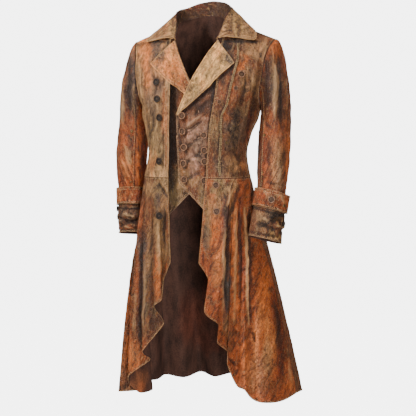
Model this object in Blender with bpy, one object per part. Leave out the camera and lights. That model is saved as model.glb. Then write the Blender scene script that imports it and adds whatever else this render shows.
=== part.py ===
"""A worn leather tailcoat on a hidden figure, modelled as the pieces that a tailor cuts.

Metres, +Z up. The wearer faces -Y and the wearer's left is +X, so left and right are the wearer's.
The origin is between the two points where the shoulder seams meet the neck, where the wearer holds it.
"""

import math

import bpy
import numpy as np

# Driving sizes
LEATHER = 0.0020
SEAM_GAP = 0.0004
WAIST_Z = -0.470
SIDES = {"left": 1, "right": -1}
COAT_BUTTON = 0.011
SMALL_BUTTON = 0.007
STUD = 0.0045
CUFF_KNOB = 0.009
PIN_STUD = 0.003
BUTTON_THICK = 0.0035

# Armhole seam of the left side: angle about the arm, x, y, z. 0 is the shoulder, 90 the front, 180 the bottom
ARMHOLE = (
    (0, 0.222, 0.005, -0.058),
    (30, 0.214, -0.032, -0.078),
    (60, 0.205, -0.053, -0.112),
    (90, 0.2015, -0.0645, -0.150),
    (120, 0.194, -0.067, -0.195),
    (150, 0.186, -0.052, -0.238),
    (180, 0.184, -0.020, -0.253),
    (210, 0.188, 0.016, -0.243),
    (240, 0.196, 0.043, -0.212),
    (270, 0.204, 0.057, -0.165),
    (300, 0.2115, 0.055, -0.118),
    (330, 0.2195, 0.034, -0.079),
)

# Side seam below the armhole: x, y, z
SIDE_SEAM = (
    (0.1775, -0.024, -0.290),
    (0.1630, -0.030, -0.330),
    (0.1500, -0.036, -0.387),
    (0.1540, -0.040, -0.430),
    (0.1630, -0.044, -0.470),
)

# Leathers and horn: name, colour, roughness
FINISHES = {
    "coat": ("Waxed coat leather", (0.30, 0.13, 0.055), 0.55),
    "cuff": ("Rust cuff leather", (0.28, 0.10, 0.04), 0.55),
    "collar": ("Pale collar leather", (0.36, 0.20, 0.10), 0.55),
    "waistcoat": ("Dark waistcoat leather", (0.20, 0.09, 0.045), 0.50),
    "button": ("Dark horn", (0.03, 0.022, 0.018), 0.35),
}

# Coat front, a row for each level: free edge x on the left, on the right, y, z, roundness to the side
FRONT_ROWS = (
    (0.078, -0.078, 0.000, 0.000, 0.00),
    (0.080, -0.080, -0.030, -0.017, 0.10),
    (0.082, -0.082, -0.062, -0.042, 0.25),
    (0.083, -0.078, -0.092, -0.074, 0.50),
    (0.084, -0.072, -0.118, -0.115, 0.70),
    (0.084, -0.066, -0.135, -0.155, 0.85),
    (0.084, -0.060, -0.145, -0.200, 0.95),
    (0.079, -0.060, -0.149, -0.240, 1.00),
    (0.076, -0.060, -0.150, -0.256, 1.00),
    (0.070, -0.0605, -0.150, -0.290, 1.00),
    (0.064, -0.061, -0.151, -0.330, 1.00),
    (0.060, -0.062, -0.150, -0.387, 1.00),
    (0.056, -0.063, -0.150, -0.430, 1.00),
    (0.054, -0.064, -0.150, -0.470, 1.00),
)

# Coat back, a row for each level: y and z of the centre seam, roundness to the side
BACK_ROWS = (
    (0.060, 0.020, 0.00),
    (0.069, -0.005, 0.15),
    (0.077, -0.032, 0.35),
    (0.085, -0.066, 0.60),
    (0.091, -0.105, 0.80),
    (0.095, -0.145, 0.90),
    (0.096, -0.185, 1.00),
    (0.094, -0.225, 1.00),
    (0.090, -0.253, 1.00),
    (0.082, -0.290, 1.00),
    (0.071, -0.330, 1.00),
    (0.057, -0.387, 1.00),
    (0.058, -0.430, 1.00),
    (0.064, -0.470, 1.00),
)

# Skirt fold lines, from the left front edge round the back to the right front edge: place on the waist
# seam (0 left edge, 1 left side, 2 centre back, 3 right side, 4 right edge), hem x, y, z, how far the
# line bellies out, how far the hanging cuff tucks it in, and how late (over 1) it leaves the waist's line
FOLDS = (
    (0.00, 0.036, -0.163, -0.720, 0.000, 0.000, 1.0),
    (0.08, 0.060, -0.146, -0.770, 0.000, 0.000, 1.6),
    (0.16, 0.056, -0.166, -0.866, 0.000, 0.000, 1.6),
    (0.32, 0.090, -0.136, -0.905, 0.000, 0.000, 1.8),
    (0.55, 0.096, -0.168, -0.952, 0.000, 0.000, 0.5),
    (0.58, 0.114, -0.127, -0.985, 0.000, 0.000, 0.5),
    (0.63, 0.124, -0.156, -1.020, 0.000, 0.000, 0.6),
    (0.69, 0.140, -0.122, -1.085, 0.000, 0.000, 0.7),
    (0.75, 0.170, -0.136, -1.095, 0.000, 0.006, 0.8),
    (0.81, 0.186, -0.108, -1.127, 0.000, 0.014, 0.8),
    (0.88, 0.220, -0.106, -1.136, 0.002, 0.030, 1.0),
    (0.94, 0.258, -0.050, -1.140, 0.003, 0.038, 1.0),
    (1.00, 0.286, 0.030, -1.128, 0.004, 0.016, 1.0),
    (1.12, 0.280, 0.110, -1.135, 0.005, 0.004, 1.0),
    (1.26, 0.222, 0.140, -1.138, 0.006, 0.000, 1.0),
    (1.40, 0.212, 0.212, -1.132, 0.008, 0.000, 1.0),
    (1.55, 0.142, 0.208, -1.142, 0.010, 0.000, 1.0),
    (1.69, 0.112, 0.268, -1.130, 0.010, 0.000, 1.0),
    (1.85, 0.050, 0.238, -1.138, 0.010, 0.000, 1.0),
    (2.00, 0.004, 0.274, -1.130, 0.010, 0.000, 1.0),
    (2.15, -0.048, 0.240, -1.140, 0.010, 0.000, 1.0),
    (2.31, -0.106, 0.266, -1.132, 0.010, 0.000, 1.0),
    (2.45, -0.142, 0.205, -1.142, 0.010, 0.000, 1.0),
    (2.60, -0.206, 0.202, -1.136, 0.010, 0.000, 1.0),
    (2.74, -0.212, 0.130, -1.140, 0.010, 0.010, 1.0),
    (2.88, -0.266, 0.090, -1.138, 0.010, 0.034, 1.0),
    (3.00, -0.262, 0.020, -1.142, 0.010, 0.030, 1.0),
    (3.08, -0.264, -0.056, -1.145, 0.010, 0.010, 1.0),
    (3.16, -0.172, -0.012, -1.140, 0.010, 0.000, 1.0),
    (3.22, -0.192, -0.070, -1.140, 0.010, 0.000, 1.0),
    (3.32, -0.212, -0.108, -1.086, 0.012, 0.000, 1.0),
    (3.42, -0.144, -0.098, -1.030, 0.008, 0.000, 1.0),
    (3.52, -0.152, -0.140, -0.997, 0.008, 0.000, 1.0),
    (3.62, -0.090, -0.120, -0.912, 0.004, 0.000, 1.3),
    (3.70, -0.106, -0.163, -0.855, 0.002, 0.000, 1.0),
    (3.80, -0.079, -0.168, -0.833, 0.000, 0.000, 1.0),
    (3.88, -0.083, -0.143, -0.780, 0.000, 0.000, 1.0),
    (4.00, -0.053, -0.163, -0.720, 0.000, 0.000, 1.0),
)
LEFT_SEAM_FOLD, BACK_SEAM_FOLD, RIGHT_SEAM_FOLD = 12, 19, 26
CUFF_HEIGHT, CUFF_REACH = -0.600, 0.085
FOLD_SHARPNESS = 0.5

# Arm from below the armhole to inside the cuff: z, left x, y, right x, y, half width, half depth
ARM_ROWS = (
    (-0.300, 0.2270, -0.012, -0.2290, -0.008, 0.0455, 0.056),
    (-0.345, 0.2280, -0.021, -0.2305, -0.012, 0.0480, 0.053),
    (-0.390, 0.2290, -0.031, -0.2330, -0.016, 0.0490, 0.051),
    (-0.440, 0.2280, -0.040, -0.2350, -0.016, 0.0480, 0.048),
    (-0.480, 0.2265, -0.047, -0.2360, -0.014, 0.0445, 0.045),
    (-0.515, 0.2250, -0.054, -0.2365, -0.010, 0.0415, 0.042),
    (-0.560, 0.2230, -0.062, -0.2368, -0.005, 0.0390, 0.040),
)

# Cuff rings: piece, z, left x, y, right x, y, half width, half depth
CUFF_ROWS = (
    ("band", -0.512, 0.2300, -0.055, -0.2335, -0.008, 0.0530, 0.0500),
    ("band", -0.538, 0.2270, -0.060, -0.2350, -0.005, 0.0530, 0.0500),
    ("band", -0.563, 0.2247, -0.064, -0.2360, -0.003, 0.0525, 0.0495),
    ("lower", -0.5635, 0.2244, -0.0645, -0.2360, -0.003, 0.0470, 0.0440),
    ("lower", -0.590, 0.2215, -0.070, -0.2358, -0.001, 0.0492, 0.0465),
    ("lower", -0.620, 0.2180, -0.075, -0.2352, 0.001, 0.0485, 0.0455),
    ("lower", -0.652, 0.2145, -0.080, -0.2345, 0.002, 0.0500, 0.0470),
)
RING_TILT = {"left": (0.19, 0.24), "right": (0.05, 0.17)}
SLEEVE_SEAMS = (-125.0, 123.0, 235.0)

# Collar sections from the centre back to the point: fold x, y, z, fall edge x, y, z, neck edge x, y, z
COLLAR_ROWS = (
    (0.000, 0.078, 0.067, 0.000, 0.106, 0.004, 0.000, 0.060, 0.0225),
    (0.042, 0.069, 0.060, 0.056, 0.096, -0.001, 0.038, 0.052, 0.0200),
    (0.071, 0.041, 0.044, 0.106, 0.060, -0.009, 0.064, 0.030, 0.0120),
    (0.085, 0.008, 0.036, 0.146, 0.012, -0.021, 0.074, 0.003, 0.0040),
    (0.0815, -0.030, 0.020, 0.171, -0.041, -0.0620, 0.076, -0.026, -0.0130),
    (0.0745, -0.054, -0.020, 0.133, -0.063, -0.0570, 0.0725, -0.052, -0.0370),
    (0.069, -0.085, -0.054, 0.098, -0.083, -0.0515, 0.067, -0.080, -0.0600),
)

# Waistcoat front: depth at the middle and how it rounds away, for each level
WAISTCOAT_ROWS = (
    (-0.050, -0.093, 2.9),
    (-0.100, -0.113, 2.2),
    (-0.140, -0.125, 1.8),
    (-0.190, -0.136, 1.4),
    (-0.250, -0.1395, 1.2),
    (-0.300, -0.1385, 1.1),
    (-0.390, -0.1350, 1.1),
    (-0.470, -0.1345, 1.1),
    (-0.600, -0.1400, 0.9),
)
# Its panels, a row for each level: x and z of the free edge, x and z of the edge sewn under the coat
OVER_FRONT = (
    (0.069, -0.062, 0.072, -0.062),
    (0.052, -0.092, 0.092, -0.105),
    (0.025, -0.140, 0.098, -0.150),
    (0.000, -0.188, 0.098, -0.200),
    (-0.0210, -0.233, 0.096, -0.245),
    (-0.0405, -0.279, 0.090, -0.300),
    (-0.0430, -0.340, 0.084, -0.380),
    (-0.0410, -0.410, 0.082, -0.480),
    (-0.0370, -0.484, 0.082, -0.602),
)
UNDER_FRONT = (
    (-0.066, -0.062, -0.069, -0.062),
    (-0.050, -0.092, -0.088, -0.105),
    (-0.025, -0.140, -0.092, -0.150),
    (0.000, -0.188, -0.092, -0.200),
    (0.018, -0.235, -0.092, -0.245),
    (0.030, -0.290, -0.090, -0.300),
    (0.034, -0.350, -0.088, -0.390),
    (0.030, -0.420, -0.088, -0.490),
    (0.016, -0.497, -0.088, -0.602),
)

# Lapels, a row for each section from the collar down: roll x, z, outer edge x, z
LEFT_LAPEL = (
    (0.069, -0.0640, 0.073, -0.066),
    (0.0600, -0.079, 0.103, -0.098),
    (0.0500, -0.096, 0.131, -0.131),
    (0.0280, -0.135, 0.102, -0.160),
    (0.0060, -0.176, 0.072, -0.190),
    (-0.0200, -0.232, 0.022, -0.235),
    (-0.0405, -0.281, -0.0375, -0.284),
)
RIGHT_LAPEL = (
    (-0.066, -0.0640, -0.070, -0.066),
    (-0.0580, -0.078, -0.101, -0.098),
    (-0.0480, -0.096, -0.131, -0.131),
    (-0.0340, -0.122, -0.102, -0.155),
    (-0.0200, -0.149, -0.073, -0.179),
    (-0.0080, -0.172, -0.044, -0.201),
    (0.0020, -0.192, -0.0155, -0.222),
)

# Raised welt on the left front, from under the collar to the waist: x, z
WELT = (
    (0.1290, -0.076),
    (0.1355, -0.105),
    (0.1370, -0.130),
    (0.1330, -0.165),
    (0.1270, -0.200),
    (0.1170, -0.251),
    (0.1010, -0.290),
    (0.0985, -0.349),
    (0.0930, -0.426),
    (0.0960, -0.460),
)
WELT_WIDTH = 0.0065
# Buttons on the coat: name, front, x, z, radius
COAT_BUTTONS = (
    ("right_1", "right", -0.1060, -0.186, COAT_BUTTON),
    ("right_2", "right", -0.0980, -0.237, COAT_BUTTON),
    ("right_3", "right", -0.0910, -0.292, COAT_BUTTON),
    ("right_4", "right", -0.0930, -0.421, COAT_BUTTON),
    ("left_1", "left", 0.1535, -0.166, COAT_BUTTON),
    ("left_2", "left", 0.1410, -0.206, SMALL_BUTTON),
    ("left_3", "left", 0.0965, -0.246, SMALL_BUTTON),
    ("left_4", "left", 0.1120, -0.365, STUD),
)
# Buttons on the waistcoat front: name, x, z
WAISTCOAT_BUTTONS = (
    ("left_1", -0.0230, -0.2860),
    ("left_2", -0.0225, -0.3320),
    ("left_3", -0.0185, -0.3795),
    ("left_4", -0.0205, -0.4270),
    ("left_5", -0.0180, -0.4755),
    ("right_1", 0.0440, -0.3430),
    ("right_2", 0.0445, -0.3880),
    ("right_3", 0.0450, -0.4210),
    ("right_4", 0.0440, -0.4770),
)
# Buttons on the front skirts: name, first and last fold line there, x, z, radius
SKIRT_BUTTONS = (
    ("left_5", 0, 4, 0.0850, -0.489, COAT_BUTTON),
    ("left_6", 0, 4, 0.0860, -0.566, COAT_BUTTON),
    ("right_5", 32, 37, -0.0930, -0.584, COAT_BUTTON),
)
# Buttons on the arms: name, side, what it is on, angle about the arm, z, radius
ARM_BUTTONS = (
    ("cuff_left_1", "left", "band", 73.0, -0.539, COAT_BUTTON),
    ("cuff_left_2", "left", "band", 28.0, -0.546, STUD),
    ("cuff_left_3", "left", "lower", 52.0, -0.579, CUFF_KNOB),
    ("cuff_left_4", "left", "lower", 8.0, -0.596, CUFF_KNOB),
    ("cuff_right_1", "right", "lower", 12.0, -0.577, CUFF_KNOB),
    ("cuff_right_2", "right", "lower", 12.0, -0.601, CUFF_KNOB),
    ("sleeve_left_1", "left", "sleeve", 111.0, -0.343, STUD),
    ("sleeve_left_2", "left", "sleeve", 112.0, -0.452, PIN_STUD),
    ("sleeve_left_3", "left", "sleeve", 112.0, -0.468, PIN_STUD),
    ("sleeve_left_4", "left", "sleeve", 112.0, -0.484, PIN_STUD),
    ("sleeve_right_1", "right", "sleeve", 108.0, -0.335, STUD),
    ("sleeve_right_2", "right", "sleeve", 108.0, -0.496, PIN_STUD),
)


def clear_scene():
    for obj in list(bpy.data.objects):
        bpy.data.objects.remove(obj)


def finish(kind):
    name, colour, roughness = FINISHES[kind]
    found = bpy.data.materials.get(name)
    if found:
        return found
    made = bpy.data.materials.new(name)
    made.use_nodes = True
    shader = made.node_tree.nodes["Principled BSDF"]
    shader.inputs["Base Color"].default_value = (*colour, 1.0)
    shader.inputs["Roughness"].default_value = roughness
    shader.inputs["Metallic"].default_value = 0.0
    return made


def smooth_step(value):
    held = np.clip(value, 0.0, 1.0)
    return held * held * (3.0 - 2.0 * held)


def unit(vectors):
    length = np.linalg.norm(vectors, axis=-1, keepdims=True)
    return vectors / np.maximum(length, 1e-9)


def curve(rows, at):
    """Smooth curve through the rows of a table; at runs from 0 to the number of the last row."""
    rows = np.asarray(rows, float)
    at = np.clip(np.asarray(at, float), 0.0, len(rows) - 1.0)
    low = np.minimum(at.astype(int), len(rows) - 2)
    part = (at - low)[..., None]
    before = rows[np.maximum(low - 1, 0)]
    start, end = rows[low], rows[low + 1]
    after = rows[np.minimum(low + 2, len(rows) - 1)]
    leave, arrive = (end - before) / 2.0, (after - start) / 2.0
    square, cube = part**2, part**3
    return (
        (2 * cube - 3 * square + 1) * start
        + (cube - 2 * square + part) * leave
        + (3 * square - 2 * cube) * end
        + (cube - square) * arrive
    )


def level_of(rows, column, value):
    """Where along a table the falling values of a column reach a value."""
    falling = -np.asarray(rows, float)[:, column]
    return np.interp(-np.asarray(value, float), falling, np.arange(len(falling)))


def lean(z):
    """The coat leans a little to the right at the waist."""
    return -0.008 * smooth_step((-0.20 - z) / 0.19)


def armhole(angle):
    table = np.array([row[1:] for row in ARMHOLE] * 3)
    return curve(table, np.mod(np.asarray(angle, float), 360.0) / 30.0 + len(ARMHOLE))


def body_normal(points):
    """Which way the cloth of the bodice faces, the same on both sides of each seam."""
    x, y, z = points[..., 0], points[..., 1], points[..., 2]
    up = 12.0 * np.clip((z + 0.20) / 0.20, 0.0, 1.0) ** 2
    return unit(np.stack([(x - lean(z)) / 0.19**2, (y + 0.030) / 0.115**2, up], axis=-1))


def bodice_outer_edge(level, way):
    """Armhole, then side seam, of the left side, at a level from 0 (shoulder) to 13 (waist)."""
    level = np.asarray(level, float)
    upper = armhole(way * np.minimum(level, 8.0) * 22.5)
    seam = np.vstack([armhole(180.0), np.array(SIDE_SEAM)])
    lower = curve(seam, np.maximum(level - 8.0, 0.0))
    return np.where(level[..., None] > 8.0, lower, upper)


def round_row(part, inner, outer, roundness):
    """A row of cloth from an edge to the side: straight over the shoulder, a quarter oval below."""
    power = 2.0 / 2.25
    part = np.clip(part, 0.0, 1.0)
    turn = part * math.pi / 2.0
    across = np.sin(turn) ** power
    back = 1.0 - np.cos(turn) ** power
    across = part + (across - part) * roundness
    back = part + (back - part) * roundness
    x = inner[..., 0] + (outer[..., 0] - inner[..., 0]) * across
    y = inner[..., 1] + (outer[..., 1] - inner[..., 1]) * back
    z = inner[..., 2] + (outer[..., 2] - inner[..., 2]) * part
    return np.stack([x, y, z], axis=-1)


def front_surface(side, part, level):
    """Coat front: part runs from the free edge to the side, level from the shoulder to the waist."""
    part, level = np.broadcast_arrays(np.asarray(part, float), np.asarray(level, float))
    left_x, right_x, y, z, roundness = np.moveaxis(curve(FRONT_ROWS, level), -1, 0)
    sign = SIDES[side]
    inner = np.stack([left_x if sign > 0 else right_x, y, z], axis=-1)
    outer = bodice_outer_edge(level, 1.0)
    outer = outer * np.array([sign, 1.0, 1.0])
    outer[..., 0] += lean(outer[..., 2])
    return round_row(part, inner, outer, roundness)


def back_surface(side, part, level):
    """Coat back: part runs from the centre seam to the side. The top row is the neck and shoulder."""
    part, level = np.broadcast_arrays(np.asarray(part, float), np.asarray(level, float))
    y, z, roundness = np.moveaxis(curve(BACK_ROWS, level), -1, 0)
    inner = np.stack([np.zeros_like(y), y, z], axis=-1)
    outer = bodice_outer_edge(level, -1.0)
    points = round_row(part, inner, outer, roundness)
    neck = 0.078 / 0.222
    turn = np.clip(part / neck, 0.0, 1.0) * math.pi / 2.0
    rest = np.clip((part - neck) / (1.0 - neck), 0.0, 1.0)
    top_y = np.where(part < neck, 0.060 * np.cos(turn), 0.005 * rest)
    top_z = np.where(part < neck, 0.020 * np.cos(turn), -0.058 * rest)
    fade = 1.0 - smooth_step(level / 4.5)
    straight_y = 0.060 + (0.005 - 0.060) * part
    straight_z = 0.020 + (-0.058 - 0.020) * part
    points[..., 1] += (top_y - straight_y) * fade
    points[..., 2] += (top_z - straight_z) * fade
    points[..., 0] = SIDES[side] * points[..., 0] + lean(points[..., 2])
    return points


def front_at(side, x, z):
    """Point of the coat front that lies at an x and a height."""
    part, level = 0.2, float(level_of(FRONT_ROWS, 3, z))
    for _ in range(60):
        point = front_surface(side, part, level)
        level = min(max(level + (point[2] - z) * 12.0, 0.0), 13.0)
        part = min(max(part + (x - point[0]) * SIDES[side] * 4.0, 0.0), 1.0)
    return front_surface(side, part, level)


def straight_curve(rows, at):
    rows = np.asarray(rows, float)
    low = np.minimum(at.astype(int), len(rows) - 2)
    return rows[low] + (rows[low + 1] - rows[low]) * (at - low)[..., None]


def waist_seam(place):
    """Point of the waist seam: 0 left edge, 1 left side, 2 centre back, 3 right side, 4 right edge."""
    place = np.asarray(place, float)
    waist = len(FRONT_ROWS) - 1.0
    ring = front_surface("left", place, waist)
    ring = np.where(place[..., None] > 1.0, back_surface("left", 2.0 - place, waist), ring)
    ring = np.where(place[..., None] > 2.0, back_surface("right", place - 2.0, waist), ring)
    return np.where(place[..., None] > 3.0, front_surface("right", 4.0 - place, waist), ring)


def skirt_surface(line, fall):
    """Skirt: line counts the fold lines, fall runs from the waist seam (0) to the hem (1)."""
    line, fall = np.broadcast_arrays(np.asarray(line, float), np.asarray(fall, float))
    fall = np.clip(fall, 0.0, 1.0)
    smooth, straight = curve(FOLDS, line), straight_curve(FOLDS, line)
    found = smooth + (straight - smooth) * FOLD_SHARPNESS
    hem, belly, tuck, late = found[..., 1:4], found[..., 4:5], found[..., 5:6], found[..., 6:7]
    start = waist_seam(np.clip(found[..., 0], 0.0, 4.0))
    outward = unit((start - np.array([lean(WAIST_Z), -0.02, WAIST_Z]))[..., :2])
    fall = fall[..., None]
    flat = start[..., :2] + (hem[..., :2] - start[..., :2]) * fall**late
    z = WAIST_Z + (hem[..., 2:] - WAIST_Z) * fall
    pressed = np.exp(-(((z - CUFF_HEIGHT) / CUFF_REACH) ** 2)) * smooth_step(fall / 0.06)
    flat = flat + outward * (belly * 4.0 * fall * (1.0 - fall) - tuck * pressed)
    return np.concatenate([flat, z], axis=-1)


def arm_ring(side, row, angle, tilt=(0.0, 0.0)):
    """Ring of a sleeve or cuff: angle 0 is its outer side, 90 its front."""
    z, left_x, left_y, right_x, right_y, half_x, half_y = (row[..., i] for i in range(7))
    sign = SIDES[side]
    centre_x, centre_y = (left_x, left_y) if sign > 0 else (right_x, right_y)
    turn = np.radians(angle)
    off_x, off_y = half_x * np.cos(turn), -half_y * np.sin(turn)
    height = z - tilt[0] * off_x - tilt[1] * off_y
    return np.stack([centre_x + sign * off_x, centre_y + off_y, height], axis=-1)


def sleeve_surface(side, angle, level):
    """Sleeve: level 0 to 1 is the head, from the armhole to the first arm ring, then the arm's rows."""
    angle, level = np.broadcast_arrays(np.asarray(angle, float), np.maximum(level, 0.0))
    sign = np.array([SIDES[side], 1.0, 1.0])
    turn = np.radians(angle)
    start = armhole(angle) * sign
    top = (1.0 + np.cos(turn)) / 2.0
    leave = np.stack([0.030 + 0.050 * top, -0.030 * np.sin(turn), -0.030 + 0.010 * top], axis=-1) * sign
    normal = body_normal(start)
    start = start + normal * 0.0010 + unit(leave) * 0.0012
    first = arm_ring(side, np.array(ARM_ROWS)[0], angle)
    drop = np.linalg.norm(first - start, axis=-1, keepdims=True)
    arrive = np.array([0.0, 0.0, -1.0]) * drop
    part = np.clip(level, 0.0, 1.0)[..., None]
    square, cube = part**2, part**3
    head = (
        (2 * cube - 3 * square + 1) * start
        + (cube - 2 * square + part) * leave
        + (3 * square - 2 * cube) * first
        + (cube - square) * arrive
    )
    tail = smooth_step((level - 4.0) / 2.0)
    tilt = (RING_TILT[side][0] * tail, RING_TILT[side][1] * tail)
    arm = arm_ring(side, curve(ARM_ROWS, level - 1.0), angle, tilt)
    return np.where(level[..., None] < 1.0, head, arm)


def cuff_surface(side, piece, angle, level):
    rows = np.array([row[1:] for row in CUFF_ROWS if row[0] == piece])
    angle, level = np.broadcast_arrays(np.asarray(angle, float), np.asarray(level, float))
    return arm_ring(side, curve(rows, level), angle, RING_TILT[side])


def normals_of(surface, across, down, step_across, step_down):
    """Normals of a surface function, from points a small step to each side."""
    beside = surface(across + step_across, down) - surface(across - step_across, down)
    below = surface(across, down + step_down) - surface(across, down - step_down)
    return unit(np.cross(beside, below))


def grid_normals(points):
    """Normals of a grid of points, rows down and columns across, from its neighbours."""
    return unit(np.cross(np.gradient(points, axis=1), np.gradient(points, axis=0)))


def face_grid(rows, columns, start):
    first = [start + r * columns + c for r in range(rows - 1) for c in range(columns - 1)]
    return [(i, i + 1, i + columns + 1, i + columns) for i in first]


def add_object(name, points, faces, kind):
    points = np.asarray(points, float)
    volume = 0.0
    for face in faces:
        for second, third in zip(face[1:-1], face[2:]):
            volume += np.dot(points[face[0]], np.cross(points[second], points[third]))
    if volume < 0.0:
        faces = [face[::-1] for face in faces]
    mesh = bpy.data.meshes.new(name)
    mesh.from_pydata([tuple(p) for p in points], [], faces)
    mesh.shade_smooth()
    mesh.set_sharp_from_angle(angle=math.radians(40.0))
    mesh.materials.append(finish(kind))
    bpy.context.collection.objects.link(bpy.data.objects.new(name, mesh))


def shell(name, outer, inward, kind, around=False):
    """Closed wall of leather: a grid of outer points and the same grid moved in."""
    rows, columns = outer.shape[:2]
    inner = outer + inward * LEATHER
    if around:
        outer = np.concatenate([outer, outer[:, :1]], axis=1)
        inner = np.concatenate([inner, inner[:, :1]], axis=1)
        columns += 1
    size = rows * columns
    outside = face_grid(rows, columns, 0)
    inside = [face[::-1] for face in face_grid(rows, columns, size)]
    rims = []
    for r in (0, rows - 1):
        for c in range(columns - 1):
            a, b = r * columns + c, r * columns + c + 1
            rims.append((b, a, a + size, b + size) if r == 0 else (a, b, b + size, a + size))
    if not around:
        for c in (0, columns - 1):
            for r in range(rows - 1):
                a, b = r * columns + c, (r + 1) * columns + c
                rims.append((a, b, b + size, a + size) if c == 0 else (b, a, a + size, b + size))
    points = np.concatenate([outer.reshape(-1, 3), inner.reshape(-1, 3)])
    faces = outside + inside + rims
    if around:
        place = np.arange(2 * size).reshape(2, rows, columns)
        place[:, :, -1] = place[:, :, 0]
        place = place.reshape(-1)
        used, index = np.unique(place, return_inverse=True)
        faces = [tuple(int(index[i]) for i in face) for face in faces]
        points = points[used]
    add_object(name, points, faces, kind)


def draw_in(points, amount, edges):
    """Moves the first or last columns or rows of a panel in by a seam's gap."""
    points = points.copy()
    if "first_column" in edges:
        points[:, 0] += unit(points[:, 1] - points[:, 0]) * amount
    if "last_column" in edges:
        points[:, -1] += unit(points[:, -2] - points[:, -1]) * amount
    if "first_row" in edges:
        points[0] += unit(points[1] - points[0]) * amount
    if "last_row" in edges:
        points[-1] += unit(points[-2] - points[-1]) * amount
    return points


def make_bodice(side):
    levels = np.concatenate([np.arange(0.0, 9.0, 0.75), np.arange(9.0, 13.1, 1.0)])[:, None]
    for name, surface in (("bodice_front_", front_surface), ("bodice_back_", back_surface)):
        points = surface(side, np.linspace(0.0, 1.0, 11)[None, :], levels)
        edges = ["last_column", "first_row", "last_row"]
        if name == "bodice_back_":
            edges.append("first_column")
        points = draw_in(points, SEAM_GAP, edges)
        inward = -body_normal(points)
        inward[-1, :, 2] = 0.0
        if name == "bodice_back_":
            inward[:, 0, 0] = 0.0
        shell(name + side, points, unit(inward), "coat")


def make_skirts():
    steps = 2
    lines = np.linspace(0.0, len(FOLDS) - 1.0, (len(FOLDS) - 1) * steps + 1)
    falls = np.array([0.0, 0.06, 0.13, 0.22, 0.32, 0.43, 0.56, 0.70, 0.85, 1.0])[:, None]
    points = skirt_surface(lines[None, :], falls)
    inward = normals_of(skirt_surface, lines[None, :], falls, 0.15, 0.02)
    inward[0] = normals_of(skirt_surface, lines, np.zeros_like(lines), 0.5, 0.02)
    centre = np.array([0.0, -0.02, 0.0])
    if np.sum(inward[0] * (points[0] - centre)) > 0.0:
        inward = -inward
    inward[0, :, 2] = 0.0
    inward = unit(inward)
    pieces = (
        ("skirt_front_left", 0, LEFT_SEAM_FOLD, ("last_column",)),
        ("skirt_back_left", LEFT_SEAM_FOLD, BACK_SEAM_FOLD, ("first_column", "last_column")),
        ("skirt_back_right", BACK_SEAM_FOLD, RIGHT_SEAM_FOLD, ("first_column", "last_column")),
        ("skirt_front_right", RIGHT_SEAM_FOLD, len(FOLDS) - 1, ("first_column",)),
    )
    for name, first, last, seams in pieces:
        chosen = slice(first * steps, last * steps + 1)
        cut = draw_in(points[:, chosen], SEAM_GAP, seams)
        cut[0, :, 2] -= SEAM_GAP
        shell(name, cut, inward[:, chosen], "coat")


def make_sleeves(side):
    levels = np.concatenate([np.array([0.0, 0.12, 0.28, 0.48, 0.72]), np.arange(1.0, 7.1, 1.0)])
    first, second, third = SLEEVE_SEAMS
    for name, start, end, count in (
        ("top_sleeve_", first, second, 12),
        ("under_sleeve_", second, third, 6),
    ):
        angles = np.linspace(start, end, count)[None, :]
        points = sleeve_surface(side, angles, levels[:, None])

        def surface(around, along):
            return sleeve_surface(side, around, along)

        inward = normals_of(surface, angles, levels[:, None], 2.0, 0.04)
        axis = np.array(ARM_ROWS)[2]
        middle = np.array([axis[1] if side == "left" else axis[3], axis[2], 0.0])
        level_out = (points[6:] - middle) * np.array([1.0, 1.0, 0.0])
        if np.sum(inward[6:] * level_out) > 0.0:
            inward = -inward
        points = draw_in(points, SEAM_GAP, ("first_column", "last_column"))
        shell(name + side, points, inward, "coat")


def make_cuffs(side):
    angles = np.linspace(0.0, 360.0, 20, endpoint=False)
    for piece in ("band", "lower"):
        count = sum(row[0] == piece for row in CUFF_ROWS)
        levels = np.linspace(0.0, count - 1.0, 3 if piece == "band" else 4)
        points = cuff_surface(side, piece, angles[None, :], levels[:, None])
        inward = points.mean(axis=1, keepdims=True) - points
        inward[..., 2] = 0.0
        name = "cuff_band_" if piece == "band" else "cuff_"
        shell(name + side, points, unit(inward), "cuff", around=True)


# How far the collar's sewn edge stays above the neckline of the backs
NECK_SEAM = 0.0010


def collar_section(row):
    """One section through the collar: up the stand, over the fold, down the fall."""
    fold, edge, neck = row[0:3], row[3:6], row[6:9]
    out = unit(edge - fold)
    up = np.array([0.0, 0.0, 1.0])
    if neck[1] > 0.0:
        neck = back_surface("left", neck[0] / ARMHOLE[0][1], 0.0) + up * NECK_SEAM
    away = unit(out - up * np.dot(out, up))
    crown = 0.0045
    inner_low = neck
    inner_mid = neck + (fold - neck) * 0.55 - away * 0.0015
    inner_top = fold - away * crown - up * crown
    top = fold
    outer_top = fold + away * crown - up * crown
    fall_mid = outer_top + (edge - outer_top) * 0.45 + up * 0.0020
    return np.array([inner_low, inner_mid, inner_top, top, outer_top, fall_mid, edge])


def bodice_samples():
    """Points of the bodice and which way it faces there, close enough to lay other pieces on it."""
    levels = np.linspace(0.0, 9.0, 73)[:, None]
    parts = np.linspace(0.0, 1.0, 61)[None, :]
    points = [surface(side, parts, levels) for side in SIDES for surface in (front_surface, back_surface)]
    points = np.concatenate([grid.reshape(-1, 3) for grid in points])
    return points, body_normal(points)


def lift_off(points, clearance):
    """Moves what lies on the bodice out until it is clear of it."""
    under, facing = bodice_samples()
    lifted = points.copy()
    for _ in range(3):
        for index in np.ndindex(points.shape[:-1]):
            near = np.argmin(np.sum((under - lifted[index]) ** 2, axis=1))
            above = np.dot(lifted[index] - under[near], facing[near])
            if above < clearance and np.linalg.norm(lifted[index] - under[near]) < 0.03:
                lifted[index] += facing[near] * (clearance - above)
    return lifted


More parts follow.
